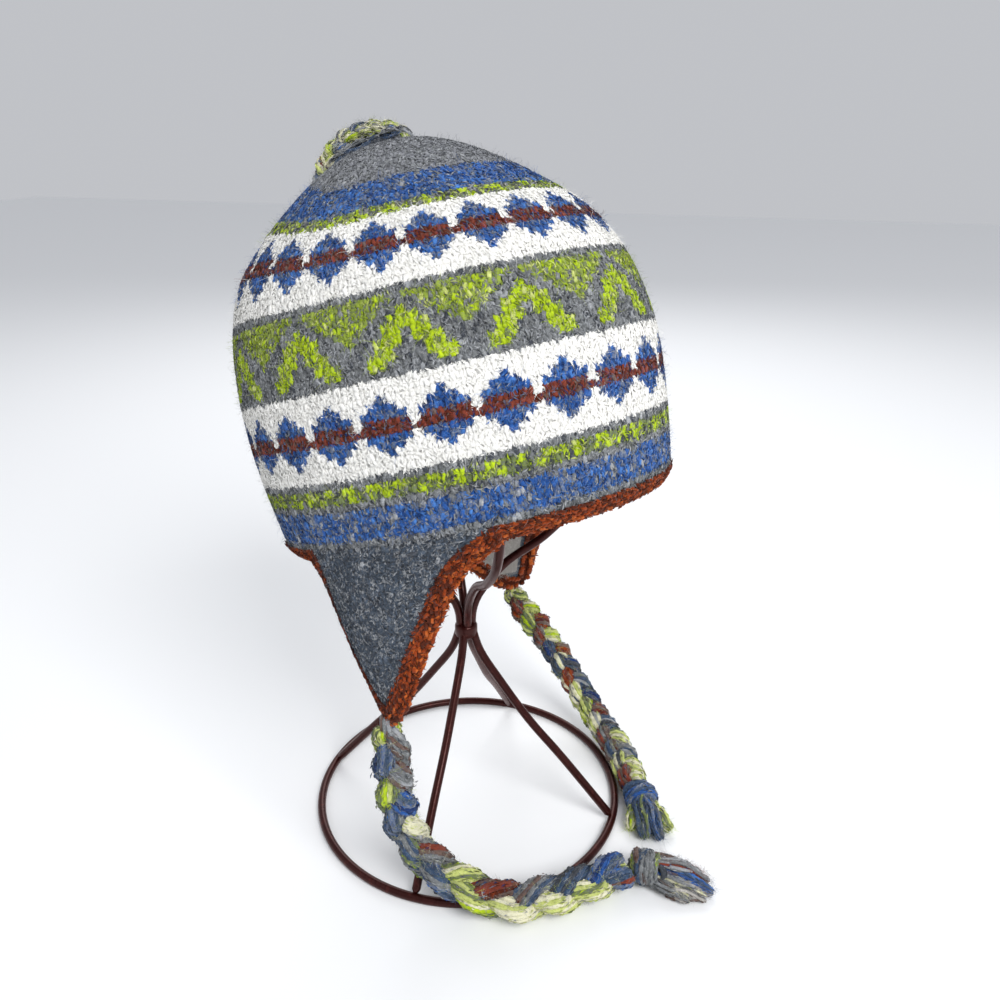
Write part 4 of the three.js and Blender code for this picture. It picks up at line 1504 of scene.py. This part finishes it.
# The neck's binding: levels as shares of its length, and its girth there as shares of its radius
NECK_LEVELS = np.array([-0.5, -0.5, -0.42, -0.3, 0.3, 0.42, 0.5, 0.5])
NECK_GIRTHS = np.array([0, 0.8, 0.93, 1, 1, 0.93, 0.8, 0])


def make_ring():
    turns = np.linspace(0, 2 * np.pi, RING_STEPS, endpoint=False)
    lift = WIRE_RADIUS * math.cos(math.pi / 8)
    outward = np.stack([np.cos(turns), np.sin(turns), 0 * turns], axis=1)
    up = np.tile([0, 0, WIRE_RADIUS], (RING_STEPS, 1))
    return closed_tube(outward * RING_RADIUS + [0, 0, lift], outward * WIRE_RADIUS, up, RING_SIDES, "Z")


def make_spoke(section, turn):
    """A wire bent along a section, turned about the stand's middle."""
    heading = math.radians(turn)
    out, up = np.array(section, float).T
    line = route_spline(np.stack([out * math.cos(heading), out * math.sin(heading), up], axis=1), SPOKE_STEP)
    face = np.array([[-math.sin(heading), math.cos(heading), 0.0]])
    half = np.full((1, len(line)), WIRE_RADIUS)
    return strands(line[None], face, half, half, ["Z"], SPOKE_SIDES)


def make_neck():
    levels, girth = NECK_HEIGHT + NECK_LEVELS * NECK_LENGTH, NECK_GIRTHS * NECK_RADIUS
    spine = np.stack([0 * levels, 0 * levels, levels], axis=1)
    return strands(spine[None], np.array([[1.0, 0, 0]]), girth[None], girth[None], ["Z"], NECK_SIDES)


def make_stand():
    parts = [make_ring()]
    for turn in np.arange(SPOKES) * 360 / SPOKES:
        parts += [make_spoke(LEG, turn), make_spoke(RIB, turn + RIB_TURN)]
    parts.append(make_neck())
    make_piece("hat_stand_wire", parts, "bronze_wire", "hat_stand")


make_stand()

# Floor and light

FLOOR_SIZE = 6.0
FLOOR = {"Base Color": srgb(246, 247, 248), "Roughness": 0.6}
LIGHT_AIM = (0, 0, 0.2)
# Lights: name, place, size and power
LIGHTS = [
    ("key", (0.78, -0.72, 1.05), 0.7, 16.5),
    ("fill", (-0.9, -0.6, 0.7), 0.9, 0.7),
    ("back", (-0.2, 0.9, 0.9), 0.8, 5.0),
]
SKY_COLOUR = (0.93, 0.95, 1.0, 1.0)
SKY_STRENGTH = 0.57


def make_floor():
    mesh = bpy.data.meshes.new("floor")
    half = FLOOR_SIZE / 2
    mesh.from_pydata([(-half, -half, 0), (half, -half, 0), (half, half, 0), (-half, half, 0)], [], [(0, 1, 2, 3)])
    mesh.materials.append(new_material("pale_floor", FLOOR)[0])
    floor = add_object("floor", mesh)


def make_light(name, place, size, power):
    data = bpy.data.lights.new(name, "AREA")
    data.size = size
    data.energy = power
    light = add_object(name, data)
    light.location = place
    away = np.array(place) - np.array(LIGHT_AIM)
    flat = math.hypot(away[0], away[1])
    light.rotation_euler = (math.atan2(flat, away[2]), 0, math.atan2(away[0], -away[1]))


def make_world():
    world = bpy.data.worlds.new("studio")
    world.use_nodes = True
    background = world.node_tree.nodes["Background"]
    background.inputs["Color"].default_value = SKY_COLOUR
    background.inputs["Strength"].default_value = SKY_STRENGTH
    bpy.context.scene.world = world
    bpy.context.scene.view_settings.view_transform = "Standard"


make_floor()
for light_values in LIGHTS:
    make_light(*light_values)
make_world()
